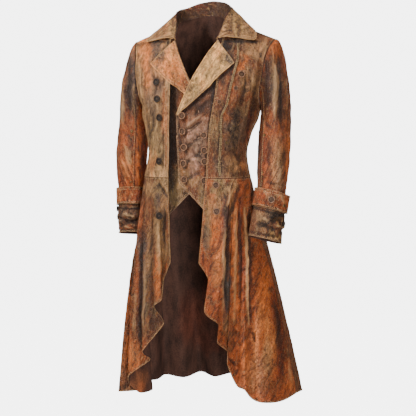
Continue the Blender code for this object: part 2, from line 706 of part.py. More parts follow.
def make_collar():
    half = curve(COLLAR_ROWS, np.linspace(0.0, len(COLLAR_ROWS) - 1.0, 13))
    mirror = np.array([-1.0, 1.0, 1.0])
    sections = [collar_section(row) for row in half]
    whole = [section * mirror for section in sections[:0:-1]] + sections
    points = np.stack(whole, axis=1)
    points[4:] = lift_off(points[4:], 0.0050)
    inward = grid_normals(points)
    middle = points.shape[1] // 2
    if inward[3, middle, 2] > 0.0:
        inward = -inward
    shell("collar", points, inward, "collar")


def waistcoat_y(x, z):
    level = level_of(WAISTCOAT_ROWS, 0, z)
    _, middle, rounding = np.moveaxis(curve(WAISTCOAT_ROWS, level), -1, 0)
    return middle + rounding * np.asarray(x) ** 2


def make_waistcoat():
    for name, table, set_back in (
        ("waistcoat_over_front", OVER_FRONT, 0.0),
        ("waistcoat_under_front", UNDER_FRONT, 0.0045),
    ):
        rows = curve(table, np.linspace(0.0, len(table) - 1.0, 13))[:, None, :]
        part = np.linspace(0.0, 1.0, 8)[None, :]
        x = rows[..., 0] + (rows[..., 2] - rows[..., 0]) * part
        z = rows[..., 1] + (rows[..., 3] - rows[..., 1]) * part
        points = np.stack([x, waistcoat_y(x, z) + set_back, z], axis=-1)
        inward = np.zeros_like(points)
        inward[..., 1] = 1.0
        shell(name, points, inward, "waistcoat")


def lapel_points(side, table, off_waistcoat, rows, columns):
    """Lapel: it leaves the waistcoat's edge at the roll and lies on the coat's front."""
    found = curve(table, np.linspace(0.0, len(table) - 1.0, rows))
    points = np.zeros((rows, columns, 3))
    for r, (roll_x, roll_z, edge_x, edge_z) in enumerate(found):
        for c, part in enumerate(np.linspace(0.0, 1.0, columns)):
            x = roll_x + (edge_x - roll_x) * part
            z = roll_z + (edge_z - roll_z) * part
            y = float(waistcoat_y(x, z)) - off_waistcoat
            under = front_at(side, x, z)
            beyond = SIDES[side] * (x - under[0])
            cover = float(smooth_step((beyond + 0.020) / 0.014))
            y = min(y, y + (under[1] - 0.0055 - y) * cover)
            points[r, c] = (x, y, z)
    return points


def make_lapels():
    for side, table, off in (("left", LEFT_LAPEL, 0.0055), ("right", RIGHT_LAPEL, 0.0027)):
        points = lapel_points(side, table, off, 13, 8)
        smooth = points.copy()
        for _ in range(4):
            middle = (smooth[1:-1, 2:, 1] + smooth[1:-1, :-2, 1] + smooth[2:, 1:-1, 1] + smooth[:-2, 1:-1, 1])
            smooth[1:-1, 1:-1, 1] = np.minimum(middle / 4.0, smooth[1:-1, 1:-1, 1])
        inward = np.zeros_like(smooth)
        inward[..., 1] = 1.0
        shell("lapel_" + side, smooth, inward, "collar")


def button_mesh(name, centre, facing, radius):
    """A round button: a flat back, a raised rim and a sunk middle."""
    facing = unit(np.asarray(facing, float))
    side = unit(np.cross(facing, np.array([0.0, 0.0, 1.0])))
    up = np.cross(side, facing)
    count = 12 if radius > 0.008 else 8
    rings = ((0.90, 0.0), (1.0, 0.45), (0.86, 1.0), (0.60, 0.72))
    points = []
    for wide, high in rings:
        for turn in np.linspace(0.0, 2.0 * math.pi, count, endpoint=False):
            flat = side * math.cos(turn) + up * math.sin(turn)
            points.append(centre + flat * radius * wide + facing * BUTTON_THICK * high)
    faces = [tuple(range(count))]
    for ring in range(len(rings) - 1):
        for i in range(count):
            a, b = ring * count + i, ring * count + (i + 1) % count
            faces.append((a, a + count, b + count, b))
    faces.append(tuple(range(len(points) - 1, len(points) - count - 1, -1)))
    add_object(name, points, faces, "button")


def make_welt():
    path = curve(WELT, np.linspace(0.0, len(WELT) - 1.0, 19))
    points = np.zeros((len(path), 3, 3))
    for r, (x, z) in enumerate(path):
        for c, across in enumerate((-0.5, 0.0, 0.5)):
            point = front_at("left", x + across * WELT_WIDTH, z)
            points[r, c] = point + front_facing("left", point) * 0.0034
    facing = np.array([[front_facing("left", point) for point in row] for row in points])
    shell("front_welt_left", points, -facing, "coat")


def front_facing(side, point):
    """Which way the coat front faces at a point on it."""
    x, z = point[0], point[2]
    beside = front_at(side, x + 0.004, z) - front_at(side, x - 0.004, z)
    below = front_at(side, x, z - 0.006) - front_at(side, x, z + 0.006)
    facing = unit(np.cross(beside, below))
    return facing * (1.0 if facing[1] < 0.0 else -1.0)


def nearest_on(surface, across, down, x, z):
    """Point of a surface function nearest to an x and a height, and which way it faces."""
    across, down = np.meshgrid(across, down)
    points = surface(across, down)
    best = np.argmin((points[..., 0] - x) ** 2 + (points[..., 2] - z) ** 2)
    place = np.unravel_index(best, across.shape)
    facing = normals_of(surface, across[place], down[place], 0.1, 0.02)
    return points[place], facing * (1.0 if facing[1] < 0.0 else -1.0)


def arm_point(side, piece, angle, z):
    """Point of a sleeve or cuff at an angle about the arm and a height, and which way it faces."""
    if piece == "sleeve":
        level = 1.0 + float(level_of(ARM_ROWS, 0, z))
        point = sleeve_surface(side, angle, level)
        centre = sleeve_surface(side, np.arange(0.0, 360.0, 30.0), level).mean(axis=0)
    else:
        rows = [row[1:] for row in CUFF_ROWS if row[0] == piece]
        level = float(level_of(rows, 0, z))
        point = cuff_surface(side, piece, angle, level)
        centre = cuff_surface(side, piece, np.arange(0.0, 360.0, 30.0), level).mean(axis=0)
    facing = (point - centre) * np.array([1.0, 1.0, 0.0])
    return point, unit(facing)


def make_buttons():
    for name, side, x, z, radius in COAT_BUTTONS:
        point = front_at(side, x, z)
        facing = front_facing(side, point)
        button_mesh("button_coat_" + name, point + facing * 0.0016, facing, radius)
    for name, first, last, x, z, radius in SKIRT_BUTTONS:
        lines, falls = np.arange(first, last, 0.04), np.arange(0.0, 0.5, 0.004)
        point, facing = nearest_on(skirt_surface, lines, falls, x, z)
        button_mesh("button_coat_" + name, point + facing * 0.0020, facing, radius)
    for name, x, z in WAISTCOAT_BUTTONS:
        point = np.array([x, float(waistcoat_y(x, z)), z])
        facing = unit(np.array([2.2 * x, -1.0, 0.0]))
        button_mesh("button_waistcoat_" + name, point + facing * 0.0012, facing, COAT_BUTTON)
    for name, side, piece, angle, z, radius in ARM_BUTTONS:
        point, facing = arm_point(side, piece, angle, z)
        button_mesh("button_" + name, point + facing * 0.0012, facing, radius)


def main():
    clear_scene()
    for side in SIDES:
        make_bodice(side)
        make_sleeves(side)
        make_cuffs(side)
    make_skirts()
    make_collar()
    make_waistcoat()
    make_lapels()
    make_welt()
    make_buttons()


main()
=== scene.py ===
"""A worn leather tailcoat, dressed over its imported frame: skins, seams, stitches, buttons and finish.

Metres, +Z up. The wearer faces -Y and the wearer's left is +X, so left and right are the wearer's.
"""

import math
from functools import partial

import bpy
import numpy as np
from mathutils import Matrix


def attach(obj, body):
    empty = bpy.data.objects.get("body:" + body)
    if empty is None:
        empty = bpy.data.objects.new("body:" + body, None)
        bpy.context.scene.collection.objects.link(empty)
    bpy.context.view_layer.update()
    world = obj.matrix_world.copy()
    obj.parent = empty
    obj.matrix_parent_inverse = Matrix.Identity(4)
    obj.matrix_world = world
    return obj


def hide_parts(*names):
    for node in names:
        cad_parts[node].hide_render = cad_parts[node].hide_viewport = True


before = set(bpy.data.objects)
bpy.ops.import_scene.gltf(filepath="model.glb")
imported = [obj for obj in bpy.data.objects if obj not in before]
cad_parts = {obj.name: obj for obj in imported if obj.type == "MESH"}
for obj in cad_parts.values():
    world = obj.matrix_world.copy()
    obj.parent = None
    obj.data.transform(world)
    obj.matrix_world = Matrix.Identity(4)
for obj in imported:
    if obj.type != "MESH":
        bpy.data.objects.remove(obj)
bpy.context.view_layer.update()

# Bodice: two fronts and two backs of waxed cowhide, cut from the shoulder to the waist seam.
# They are sewn at shoulders, sides and centre back, and the fronts' free edges lie on the waistcoat.

MM = 0.001
WAIST_Z = -0.470
SIDES = {"left": 1, "right": -1}
LEATHER_THICK = 0.0019
# The trunk as an oval, which says which way its leather faces: middle, half width, half depth
TRUNK_Y, TRUNK_WIDE, TRUNK_DEEP = -0.030, 0.190, 0.115
# Armhole seam of the left side: angle about the arm (0 shoulder, 90 front, 180 bottom), x, y, z
ARMHOLE = (
    (0, 0.222, 0.005, -0.058),
    (30, 0.214, -0.032, -0.078),
    (60, 0.205, -0.053, -0.112),
    (90, 0.2015, -0.0645, -0.150),
    (120, 0.194, -0.067, -0.195),
    (150, 0.186, -0.052, -0.238),
    (180, 0.184, -0.020, -0.253),
    (210, 0.188, 0.016, -0.243),
    (240, 0.196, 0.043, -0.212),
    (270, 0.204, 0.057, -0.165),
    (300, 0.2115, 0.055, -0.118),
    (330, 0.2195, 0.034, -0.079),
)
# Side seam below the armhole: x, y, z
SIDE_SEAM = (
    (0.1775, -0.024, -0.290),
    (0.1630, -0.030, -0.330),
    (0.1500, -0.036, -0.387),
    (0.1540, -0.040, -0.430),
    (0.1630, -0.044, -0.470),
)
# Coat front, a row for each level: free edge x on the left, on the right, y, z, roundness to the side
FRONT_ROWS = (
    (0.078, -0.078, 0.000, 0.000, 0.00),
    (0.080, -0.080, -0.030, -0.017, 0.10),
    (0.082, -0.082, -0.062, -0.042, 0.25),
    (0.083, -0.078, -0.092, -0.074, 0.50),
    (0.084, -0.072, -0.118, -0.115, 0.70),
    (0.084, -0.066, -0.135, -0.155, 0.85),
    (0.084, -0.060, -0.145, -0.200, 0.95),
    (0.079, -0.060, -0.149, -0.240, 1.00),
    (0.076, -0.060, -0.150, -0.256, 1.00),
    (0.070, -0.0605, -0.150, -0.290, 1.00),
    (0.064, -0.061, -0.151, -0.330, 1.00),
    (0.060, -0.062, -0.150, -0.387, 1.00),
    (0.056, -0.063, -0.150, -0.430, 1.00),
    (0.054, -0.064, -0.150, -0.470, 1.00),
)
# Coat back, a row for each level: y and z of the centre seam, roundness to the side
BACK_ROWS = (
    (0.060, 0.020, 0.00),
    (0.069, -0.005, 0.15),
    (0.077, -0.032, 0.35),
    (0.085, -0.066, 0.60),
    (0.091, -0.105, 0.80),
    (0.095, -0.145, 0.90),
    (0.096, -0.185, 1.00),
    (0.094, -0.225, 1.00),
    (0.090, -0.253, 1.00),
    (0.082, -0.290, 1.00),
    (0.071, -0.330, 1.00),
    (0.057, -0.387, 1.00),
    (0.058, -0.430, 1.00),
    (0.064, -0.470, 1.00),
)
# What the wearer's quarter front shows: across is measured square to a look 19 degrees off the front
QUARTER = math.radians(19.0)
# Tones of the leather, as seen in soft light
TONES = {
    "tan": "#a67a50",
    "pale": "#cf9a5c",
    "peach": "#cf7d44",
    "orange": "#bf622a",
    "rust": "#944823",
    "brick": "#752f1a",
    "brown": "#693d25",
    "olive": "#78603e",
    "grey": "#54473a",
    "slate": "#433d38",
    "umber": "#3a2418",
    "lining": "#37221a",
    "black": "#1d1613",
    "mauve": "#80604b",
    "blush": "#c08a70",
}
# The tables of creases, patches and painted shade lines are in millimetres, and a line may hold several
# rows.
# Creases: across and z of both ends, width, height (a trough is negative)
FRONT_CREASES = (
    (128, -165, 88, -300, 7, -3), (139, -180, 110, -330, 8, 2.5), (150, -225, 118, -360, 7, -2.8),
    (120, -430, 75, -385, 6, -2.2), (115, -450, 68, -425, 6, 2.2), (110, -380, 60, -345, 7, -2),
    (155, -110, 140, -200, 9, 3), (-150, -190, -148, -330, 7, -2.5), (-143, -240, -140, -400, 8, 2.5),
    (-155, -120, -185, -175, 8, -2.4), (-122, -330, -128, -460, 6, -2.2), (-160, -420, -120, -400, 6, -2),
    (-158, -452, -125, -440, 5, 1.6), (85.5, -58, 87, -80, 3, 4.5), (87, -80, 78, -98, 3, 4.5),
    (78, -98, 60, -101, 3, 4),
)
# Colour patches: across, z, half width, half height, tone, strength
FRONT_PAINT = (
    (-165, -85, 50, 60, "peach", 0.75), (-178, -78, 30, 30, "orange", 0.4),
    (-150, -175, 30, 60, "peach", 0.45), (-175, -150, 14, 90, "orange", 0.6),
    (-136, -120, 16, 50, "slate", 0.8), (-140, -205, 26, 30, "slate", 0.75),
    (-172, -235, 12, 35, "slate", 0.55), (-112, -235, 12, 30, "umber", 0.6),
    (-155, -260, 20, 50, "grey", 0.6), (-130, -285, 10, 90, "umber", 0.55),
    (-150, -370, 30, 70, "olive", 0.65), (-118, -320, 8, 130, "rust", 0.6),
    (-135, -440, 30, 30, "olive", 0.55), (-160, -430, 14, 40, "peach", 0.5),
    (150, -90, 40, 35, "tan", 0.6), (105, -140, 12, 22, "orange", 0.55),
    (120, -130, 14, 20, "orange", 0.65), (95, -75, 22, 20, "grey", 0.6), (130, -200, 30, 40, "tan", 0.6),
    (80, -190, 12, 70, "rust", 0.65), (60, -230, 10, 40, "rust", 0.6), (95, -300, 40, 50, "grey", 0.6),
    (80, -360, 36, 55, "grey", 0.65), (100, -395, 22, 40, "brown", 0.6),
    (62, -300, 14, 20, "orange", 0.45), (110, -265, 20, 14, "tan", 0.5),
    (130, -330, 10, 110, "brick", 0.65), (145, -240, 10, 70, "umber", 0.55),
    (85, -435, 30, 28, "tan", 0.6), (110, -440, 20, 20, "peach", 0.45), (30, -330, 14, 70, "olive", 0.6),
    (32, -400, 12, 45, "umber", 0.65), (40, -445, 16, 30, "grey", 0.6), (-146, -90, 16, 45, "slate", 0.9),
    (-160, -135, 8, 40, "grey", 0.55),
)
# Painted shade in black, under the collar and beside the lapels and the welt: both ends, half width,
# strength
FRONT_PAINTED_SHADE = (
    (-156, -124, -74, -215, 6, 0.85), (-112, -72, -148, -124, 8, 0.9), (24, -196, 92, -134, 8, 0.9),
    (92, -134, 48, -66, 6, 0.75), (-205, -70, -120, -60, 6, 0.55), (76, -56, 135, -60, 7, 0.7),
    (44, -64, 70, -86, 22, 0.97), (36, -65, 150, -69, 7, 0.95), (-112, -62, -98, -74, 9, 0.9),
    (-168, -56, -112, -68, 6, 0.95), (78, -110, 78, -165, 5, 0.75), (78, -165, 46, -290, 5, 0.8),
    (46, -290, 40, -430, 5, 0.8),
)
# Colour patches of the backs, hidden in the photo and worn the same way
BACK_PAINT = (
    (-90, -90, 60, 50, "peach", 0.6), (80, -80, 60, 45, "tan", 0.6), (-110, -230, 30, 100, "grey", 0.6),
    (100, -240, 28, 110, "umber", 0.55), (0, -200, 40, 100, "rust", 0.55),
    (-50, -360, 35, 90, "olive", 0.6), (60, -390, 35, 80, "brick", 0.5), (0, -440, 60, 30, "slate", 0.5),
)
BACK_CREASES = (
    (-120, -130, -60, -260, 9, -2.6), (125, -140, 65, -270, 9, -2.6), (-110, -300, -30, -370, 8, -2.4),
    (115, -310, 40, -380, 8, 2.4), (-100, -410, -10, -430, 7, 2.2), (100, -400, 10, -420, 7, -2.2),
    (0, -60, 0, -200, 12, -1.8),
)


def smooth_step(value):
    """Eases from 0 to 1."""
    held = np.clip(value, 0.0, 1.0)
    return held * held * (3.0 - 2.0 * held)


def unit(vectors):
    """Vectors drawn out or in to a length of 1."""
    length = np.linalg.norm(vectors, axis=-1, keepdims=True)
    return vectors / np.maximum(length, 1e-9)


def eased(part, start, leave, end, arrive):
    """Cubic from one place to another, that leaves and arrives along the two given directions."""
    square, cube = part**2, part**3
    return (
        (2 * cube - 3 * square + 1) * start
        + (cube - 2 * square + part) * leave
        + (3 * square - 2 * cube) * end
        + (cube - square) * arrive
    )


def curve(rows, at):
    """Smooth curve through the rows of a table; at runs from 0 to the number of the last row."""
    rows = np.asarray(rows, float)
    at = np.clip(np.asarray(at, float), 0.0, len(rows) - 1.0)
    low = np.minimum(at.astype(int), len(rows) - 2)
    part = (at - low)[..., None]
    before = rows[np.maximum(low - 1, 0)]
    start, end = rows[low], rows[low + 1]
    after = rows[np.minimum(low + 2, len(rows) - 1)]
    return eased(part, start, (end - before) / 2.0, end, (after - start) / 2.0)


def straight_curve(rows, at):
    """Straight lines through the rows of a table."""
    rows = np.asarray(rows, float)
    low = np.minimum(at.astype(int), len(rows) - 2)
    return rows[low] + (rows[low + 1] - rows[low]) * (at - low)[..., None]


def level_of(rows, column, value):
    """Where along a table the falling values of a column reach a value."""
    falling = -np.asarray(rows, float)[:, column]
    return np.interp(-np.asarray(value, float), falling, np.arange(len(falling)))


def lean(z):
    """The coat leans a little to the right at the waist."""
    return -0.008 * smooth_step((-0.20 - z) / 0.19)


def armhole(angle):
    """Point of the left armhole at an angle about the arm."""
    table = np.array([row[1:] for row in ARMHOLE] * 3)
    return curve(table, np.mod(np.asarray(angle, float), 360.0) / 30.0 + len(ARMHOLE))


def body_normal(points):
    """Which way the leather of the bodice faces, the same on both sides of each seam."""
    x, y, z = points[..., 0], points[..., 1], points[..., 2]
    up = 12.0 * np.clip((z + 0.20) / 0.20, 0.0, 1.0) ** 2
    return unit(np.stack([(x - lean(z)) / TRUNK_WIDE**2, (y - TRUNK_Y) / TRUNK_DEEP**2, up], axis=-1))


# Levels of the bodice: 0 is the shoulder, then the armhole's lowest point, then the waist
UNDERARM, WAIST = 8.0, 13.0


def bodice_outer_edge(level, way):
    """Armhole, then side seam, of the left side, at a level from 0 (shoulder) to the waist."""
    level = np.asarray(level, float)
    upper = armhole(way * np.minimum(level, UNDERARM) * 180.0 / UNDERARM)
    seam = np.vstack([armhole(180.0), np.array(SIDE_SEAM)])
    lower = curve(seam, np.maximum(level - UNDERARM, 0.0))
    return np.where(level[..., None] > UNDERARM, lower, upper)


# How full the ovals of the trunk are; 2 is a plain oval
OVAL = 2.25


def round_row(part, inner, outer, roundness):
    """A row of leather from an edge to the side: straight over the shoulder, a quarter oval below."""
    power = 2.0 / OVAL
    part = np.clip(part, 0.0, 1.0)
    turn = part * math.pi / 2.0
    across = np.sin(turn) ** power
    back = 1.0 - np.cos(turn) ** power
    across = part + (across - part) * roundness
    back = part + (back - part) * roundness
    x = inner[..., 0] + (outer[..., 0] - inner[..., 0]) * across
    y = inner[..., 1] + (outer[..., 1] - inner[..., 1]) * back
    z = inner[..., 2] + (outer[..., 2] - inner[..., 2]) * part
    return np.stack([x, y, z], axis=-1)


def front_surface(side, part, level):
    """Coat front: part runs from the free edge to the side, level from the shoulder to the waist."""
    part, level = np.broadcast_arrays(np.asarray(part, float), np.asarray(level, float))
    left_x, right_x, y, z, roundness = np.moveaxis(curve(FRONT_ROWS, level), -1, 0)
    sign = SIDES[side]
    inner = np.stack([left_x if sign > 0 else right_x, y, z], axis=-1)
    outer = bodice_outer_edge(level, 1.0)
    outer = outer * np.array([sign, 1.0, 1.0])
    outer[..., 0] += lean(outer[..., 2])
    return round_row(part, inner, outer, roundness)


# Level at which the back no longer follows the curve of the neck
NECK_FADE = 4.5


def back_surface(side, part, level):
    """Coat back: part runs from the centre seam to the side. The top row is the neck and shoulder."""
    part, level = np.broadcast_arrays(np.asarray(part, float), np.asarray(level, float))
    y, z, roundness = np.moveaxis(curve(BACK_ROWS, level), -1, 0)
    inner = np.stack([np.zeros_like(y), y, z], axis=-1)
    points = round_row(part, inner, bodice_outer_edge(level, -1.0), roundness)
    neck = FRONT_ROWS[0][0] / ARMHOLE[0][1]
    turn = np.clip(part / neck, 0.0, 1.0) * math.pi / 2.0
    rest = np.clip((part - neck) / (1.0 - neck), 0.0, 1.0)
    fade = 1.0 - smooth_step(level / NECK_FADE)
    for axis, nape, shoulder in ((1, BACK_ROWS[0][0], ARMHOLE[0][2]), (2, BACK_ROWS[0][1], ARMHOLE[0][3])):
        top = np.where(part < neck, nape * np.cos(turn), shoulder * rest)
        points[..., axis] += (top - (nape + (shoulder - nape) * part)) * fade
    points[..., 0] = SIDES[side] * points[..., 0] + lean(points[..., 2])
    return points


def front_at(side, x, z):
    """Points of the coat front that lie at an x and a height."""
    x, z = np.broadcast_arrays(np.asarray(x, float), np.asarray(z, float))
    part, level = np.full(x.shape, 0.2), level_of(FRONT_ROWS, 3, z)
    for _ in range(60):
        point = front_surface(side, part, level)
        level = np.clip(level + (point[..., 2] - z) * 12.0, 0.0, WAIST)
        part = np.clip(part + (x - point[..., 0]) * SIDES[side] * 4.0, 0.0, 1.0)
    return front_surface(side, part, level)


def linear(hex_colour):
    """sRGB hex to linear light."""
    parts = np.array([int(hex_colour[i:i + 2], 16) for i in (1, 3, 5)]) / 255.0
    return np.where(parts <= 0.04045, parts / 12.92, ((parts + 0.055) / 1.055) ** 2.4)


def quarter_across(points):
    """How far across points lie in the quarter view."""
    return points[..., 0] * math.cos(QUARTER) + points[..., 1] * math.sin(QUARTER)


HILLS = np.random.default_rng(11).random((32, 32, 32))


def hills(points, size, octaves=3):
    """Soft random hills from 0 to 1; size is how far apart they are along each axis."""
    total, weights = 0.0, 0.0
    for octave in range(octaves):
        at = points / np.asarray(size, float) * 2.0**octave + 7.3 * octave
        low = np.floor(at).astype(int)
        part = smooth_step(at - low)
        value = 0.0
        for corner in np.ndindex(2, 2, 2):
            share = np.prod(np.where(corner, part, 1.0 - part), axis=-1)
            place = (low + corner) % len(HILLS)
            value = value + share * HILLS[place[..., 0], place[..., 1], place[..., 2]]
        total, weights = total + value * 0.5**octave, weights + 0.5**octave
    return total / weights


def off_line(across, z, line):
    """How far points are from a line between two places, and where along it they are."""
    along = np.array([line[2] - line[0], line[3] - line[1]])
    off_across, off_z = across - line[0], z - line[1]
    place = (off_across * along[0] + off_z * along[1]) / np.sum(along**2)
    held = np.clip(place, 0.0, 1.0)
    return np.hypot(off_across - held * along[0], off_z - held * along[1]), place


# How far creases wander to the side, and how far apart their bends are
WANDER, BEND_SIZE = 0.012, 0.030


def crease_heights(points, creases):
    """How far each point is lifted by creases, each a soft line between two places."""
    across, z = quarter_across(points), points[..., 2]
    wander = (hills(points, BEND_SIZE) - 0.5) * WANDER
    height = np.zeros(across.shape)
    for *line, width, rise in MM * np.array(creases, float):
        distance, place = off_line(across + wander, z, line)
        fade = np.sin(np.pi * np.clip(place * 0.9 + 0.05, 0.0, 1.0)) ** 0.6
        height += rise * fade * np.exp(-((distance / width) ** 2))
    return height


# How the rims of the patches wander: spacing of the hills and how far they reach, coarse then fine
RAGGED = (
    ((0.016, 0.016, 0.045), (0.022, 0.022, 0.080)),
    ((0.004, 0.004, 0.010), (0.009, 0.009, 0.026)),
)


# Share of a patch, and of a line of painted shade, at which it starts to fade, and over what share it does
PATCH_FADE, SHADE_LINE_FADE = (0.45, 0.9), (0.2, 1.2)


def painted(points, base, patches, painted_shade_lines=()):
    """Colour of each point: a base tone with soft ragged patches of other tones, and black lines of painted
    shade.
    """
    ragged = points
    for size, reach in RAGGED:
        drift = np.stack([hills(points + shift, size) for shift in (0.0, 5.0, 9.0)], axis=-1) - 0.5
        ragged = ragged + drift * np.array(reach)
    across, z = quarter_across(ragged), ragged[..., 2]
    colour = np.zeros(points.shape) + linear(TONES[base])
    for *numbers, tone, strength in patches:
        centre, height, half_width, half_height = MM * np.array(numbers)
        far = np.hypot((across - centre) / half_width, (z - height) / half_height)
        share = (strength * (1.0 - smooth_step((far - PATCH_FADE[0]) / PATCH_FADE[1])))[..., None]
        colour = colour * (1.0 - share) + linear(TONES[tone]) * share
    patchy = 0.6 + 0.8 * hills(points, 0.012)
    # Each line of painted shade darkens the colour towards black where shade falls: under the collar,
    # beside the lapels and the coat's edges, in creases and round the buttons
    for *numbers, strength in painted_shade_lines:
        *line, half_width = MM * np.array(numbers)
        far = off_line(quarter_across(points), points[..., 2], line)[0] / (half_width * patchy)
        share = (strength * (1.0 - smooth_step((far - SHADE_LINE_FADE[0]) / SHADE_LINE_FADE[1])))[..., None]
        colour = colour * (1.0 - share) + linear(TONES["black"]) * share
    return colour


def distances(points):
    """Distance across from the first column and down from the first row, for a grid of points."""
    across = np.linalg.norm(np.diff(points, axis=1), axis=-1)
    down = np.linalg.norm(np.diff(points, axis=0), axis=-1)
    across = np.concatenate([np.zeros((points.shape[0], 1)), np.cumsum(across, axis=1)], axis=1)
    down = np.concatenate([np.zeros((1, points.shape[1])), np.cumsum(down, axis=0)], axis=0)
    return across, down


def to_edges(points, edges):
    """Distance of each point of a grid to the nearest of the named edges."""
    across, down = distances(points)
    far = np.full(across.shape, 1.0)
    for edge in edges:
        reach = {"first": across, "last": across[:, -1:] - across,
                 "top": down, "bottom": down[-1:] - down}[edge]
        far = np.minimum(far, reach)
    return far


def facing_of(points, inward):
    """Normals of a grid, turned away from the body."""
    normal = unit(np.cross(np.gradient(points, axis=1), np.gradient(points, axis=0)))
    return -normal if np.sum(normal * inward) > 0.0 else normal


def add_node(tree, kind, links=None, values=None, **settings):
    """Adds a node, with its own settings, its sockets' values and the sockets that feed it."""
    node = tree.nodes.new(kind)
    for key, value in settings.items():
        setattr(node, key, value)
    for key, value in (values or {}).items():
        node.inputs[key].default_value = value
    for key, source in (links or {}).items():
        tree.links.new(source, node.inputs[key])
    return node


def new_finish(name):
    """A new material, with its tree and its shader."""
    made = bpy.data.materials.new(name)
    made.use_nodes = True
    return made, made.node_tree, made.node_tree.nodes["Principled BSDF"]


def placed(name, data):
    """A new object in the scene."""
    made = bpy.data.objects.new(name, data)
    bpy.context.scene.collection.objects.link(made)
    return made


# How far in the stitches run: from a turned edge, and from a seam
STITCH_INSET, SEAM_INSET = 0.0045, 0.0035


def leather(name, roughness, contrast, grime, rubbed, grime_and_shade_hex, wear_and_highlight_hex, creasing=1.0):
    """Waxed cowhide: drum-dyed, waxed, then worn. Streaks run with the hang, edges rub pale."""
    made, tree, shader = new_finish(name)
    paint = add_node(tree, "ShaderNodeAttribute", attribute_name="paint").outputs["Color"]
    edge, seam, fold = (add_node(tree, "ShaderNodeAttribute", attribute_name=label).outputs["Fac"]
                        for label in ("edge", "seam", "fold"))
    cut = add_node(tree, "ShaderNodeUVMap", uv_map="cut").outputs["UV"]
    place = add_node(tree, "ShaderNodeTexCoord").outputs["Object"]
    # Each pattern at its real size in metres: width, length, detail and how far it wanders
    patterns = {}
    for label, source, wide, long, detail, warp in (
        ("streak", cut, 0.0120, 0.0500, 6.0, 0.8),
        ("mottle", place, 0.0080, 0.0120, 6.0, 0.6),
        ("smear", cut, 0.0240, 0.0550, 7.0, 1.2),
        ("flush", place, 0.0240, 0.0420, 4.0, 0.5),
        ("speck", place, 0.0050, 0.0064, 4.0, 0.3),
        ("crumple", cut, 0.0130, 0.0240, 5.0, 1.3),
    ):
        scale = (1 / wide, 1 / long, 1.0) if source == cut else (1 / wide, 1 / wide, 1 / long)
        mapped = add_node(tree, "ShaderNodeMapping", {"Vector": source}, {"Scale": scale})
        noise = add_node(tree, "ShaderNodeTexNoise", {"Vector": mapped.outputs[0]},
                         {"Scale": 1.0, "Detail": detail, "Roughness": 0.66, "Distortion": warp})
        patterns[label] = noise.outputs["Fac"]
    lines = add_node(tree, "ShaderNodeMath", {0: patterns["streak"], 1: patterns["mottle"]}).outputs[0]
    marks = add_node(tree, "ShaderNodeMath", {0: lines, 1: patterns["speck"]}).outputs[0]
    tone = add_node(tree, "ShaderNodeMapRange", {"Value": marks},
                    {"From Min": 1.28, "From Max": 1.72, "To Min": 1.0 - contrast,
                     "To Max": 1.0 + contrast})
    toned = add_node(tree, "ShaderNodeVectorMath", {0: paint, "Scale": tone.outputs[0]},
                     operation="SCALE").outputs[0]
    colour = toned
    # The line of stitches beside a free edge is painted darker along its groove
    off_line = add_node(tree, "ShaderNodeMath", {0: edge}, {1: STITCH_INSET}, operation="SUBTRACT")
    stitched = add_node(tree, "ShaderNodeMath", {0: off_line.outputs[0]}, operation="ABSOLUTE")
    # Where each layer of dye, dirt, wear, painted shade and painted highlight starts and is full, and how
    # strongly it covers
    for source, start, full, most, layer in (
        (patterns["flush"], 0.55, 0.68, 0.30, "#a85a2a"),
        (patterns["flush"], 0.43, 0.33, 0.40, "#6b5a3d"),
        (patterns["smear"], 0.50, 0.64, grime * 0.85, grime_and_shade_hex),
        (patterns["speck"], 0.54, 0.64, grime * 0.9, grime_and_shade_hex),
        (patterns["crumple"], 0.46, 0.30, 0.55, grime_and_shade_hex),
        (patterns["speck"], 0.45, 0.34, rubbed, wear_and_highlight_hex),
        # The troughs of the creases and rumple are painted darker, as painted shade and grime, and their
        # ridges paler, as painted highlight and wear
        (fold, -0.0003, -0.0034, 0.75, grime_and_shade_hex),
        (fold, 0.0008, 0.0036, 0.42, wear_and_highlight_hex),
        (seam, 0.0035, 0.0, 0.65, grime_and_shade_hex),
        (stitched.outputs[0], 0.0018, 0.0005, 0.75, grime_and_shade_hex),
    ):
        share = add_node(tree, "ShaderNodeMapRange", {"Value": source},
                         {"From Min": start, "From Max": full, "To Min": 0.0, "To Max": most},
                         interpolation_type="SMOOTHSTEP")
        colour = add_node(tree, "ShaderNodeMix", {0: share.outputs[0], 6: colour},
                          {7: (*linear(layer), 1.0)}, data_type="RGBA").outputs[2]
    # Where the paint is darkest, as in the lines of painted shade and the black patches, it covers all the
    # layers above
    bright = add_node(tree, "ShaderNodeRGBToBW", {"Color": paint})
    darkest_paint_share = add_node(tree, "ShaderNodeMapRange", {"Value": bright.outputs[0]},
                     {"From Min": 0.040, "From Max": 0.010, "To Min": 0.0, "To Max": 0.90})
    colour = add_node(tree, "ShaderNodeMix", {0: darkest_paint_share.outputs[0], 6: colour, 7: toned},
                      data_type="RGBA").outputs[2]
    rim = add_node(tree, "ShaderNodeMapRange", {"Value": edge},
                   {"From Min": 0.0028, "From Max": 0.0008, "To Min": 0.0, "To Max": 0.75})
    broken = add_node(tree, "ShaderNodeMapRange", {"Value": patterns["speck"]},
                      {"From Min": 0.40, "From Max": 0.60, "To Min": 0.15, "To Max": 0.90})
    worn = add_node(tree, "ShaderNodeMath", {0: rim.outputs[0], 1: broken.outputs[0]}, operation="MULTIPLY")
    colour = add_node(tree, "ShaderNodeMix", {0: worn.outputs[0], 6: colour},
                      {7: (*linear(wear_and_highlight_hex), 1.0)}, data_type="RGBA").outputs[2]
    tree.links.new(colour, shader.inputs["Base Color"])
    shine = add_node(tree, "ShaderNodeMapRange", {"Value": marks},
                     {"From Min": 1.2, "From Max": 1.8, "To Min": roughness + 0.14,
                      "To Max": roughness - 0.08})
    tree.links.new(shine.outputs[0], shader.inputs["Roughness"])
    shader.inputs["IOR"].default_value = 1.5
    shader.inputs["Specular IOR Level"].default_value = 0.17
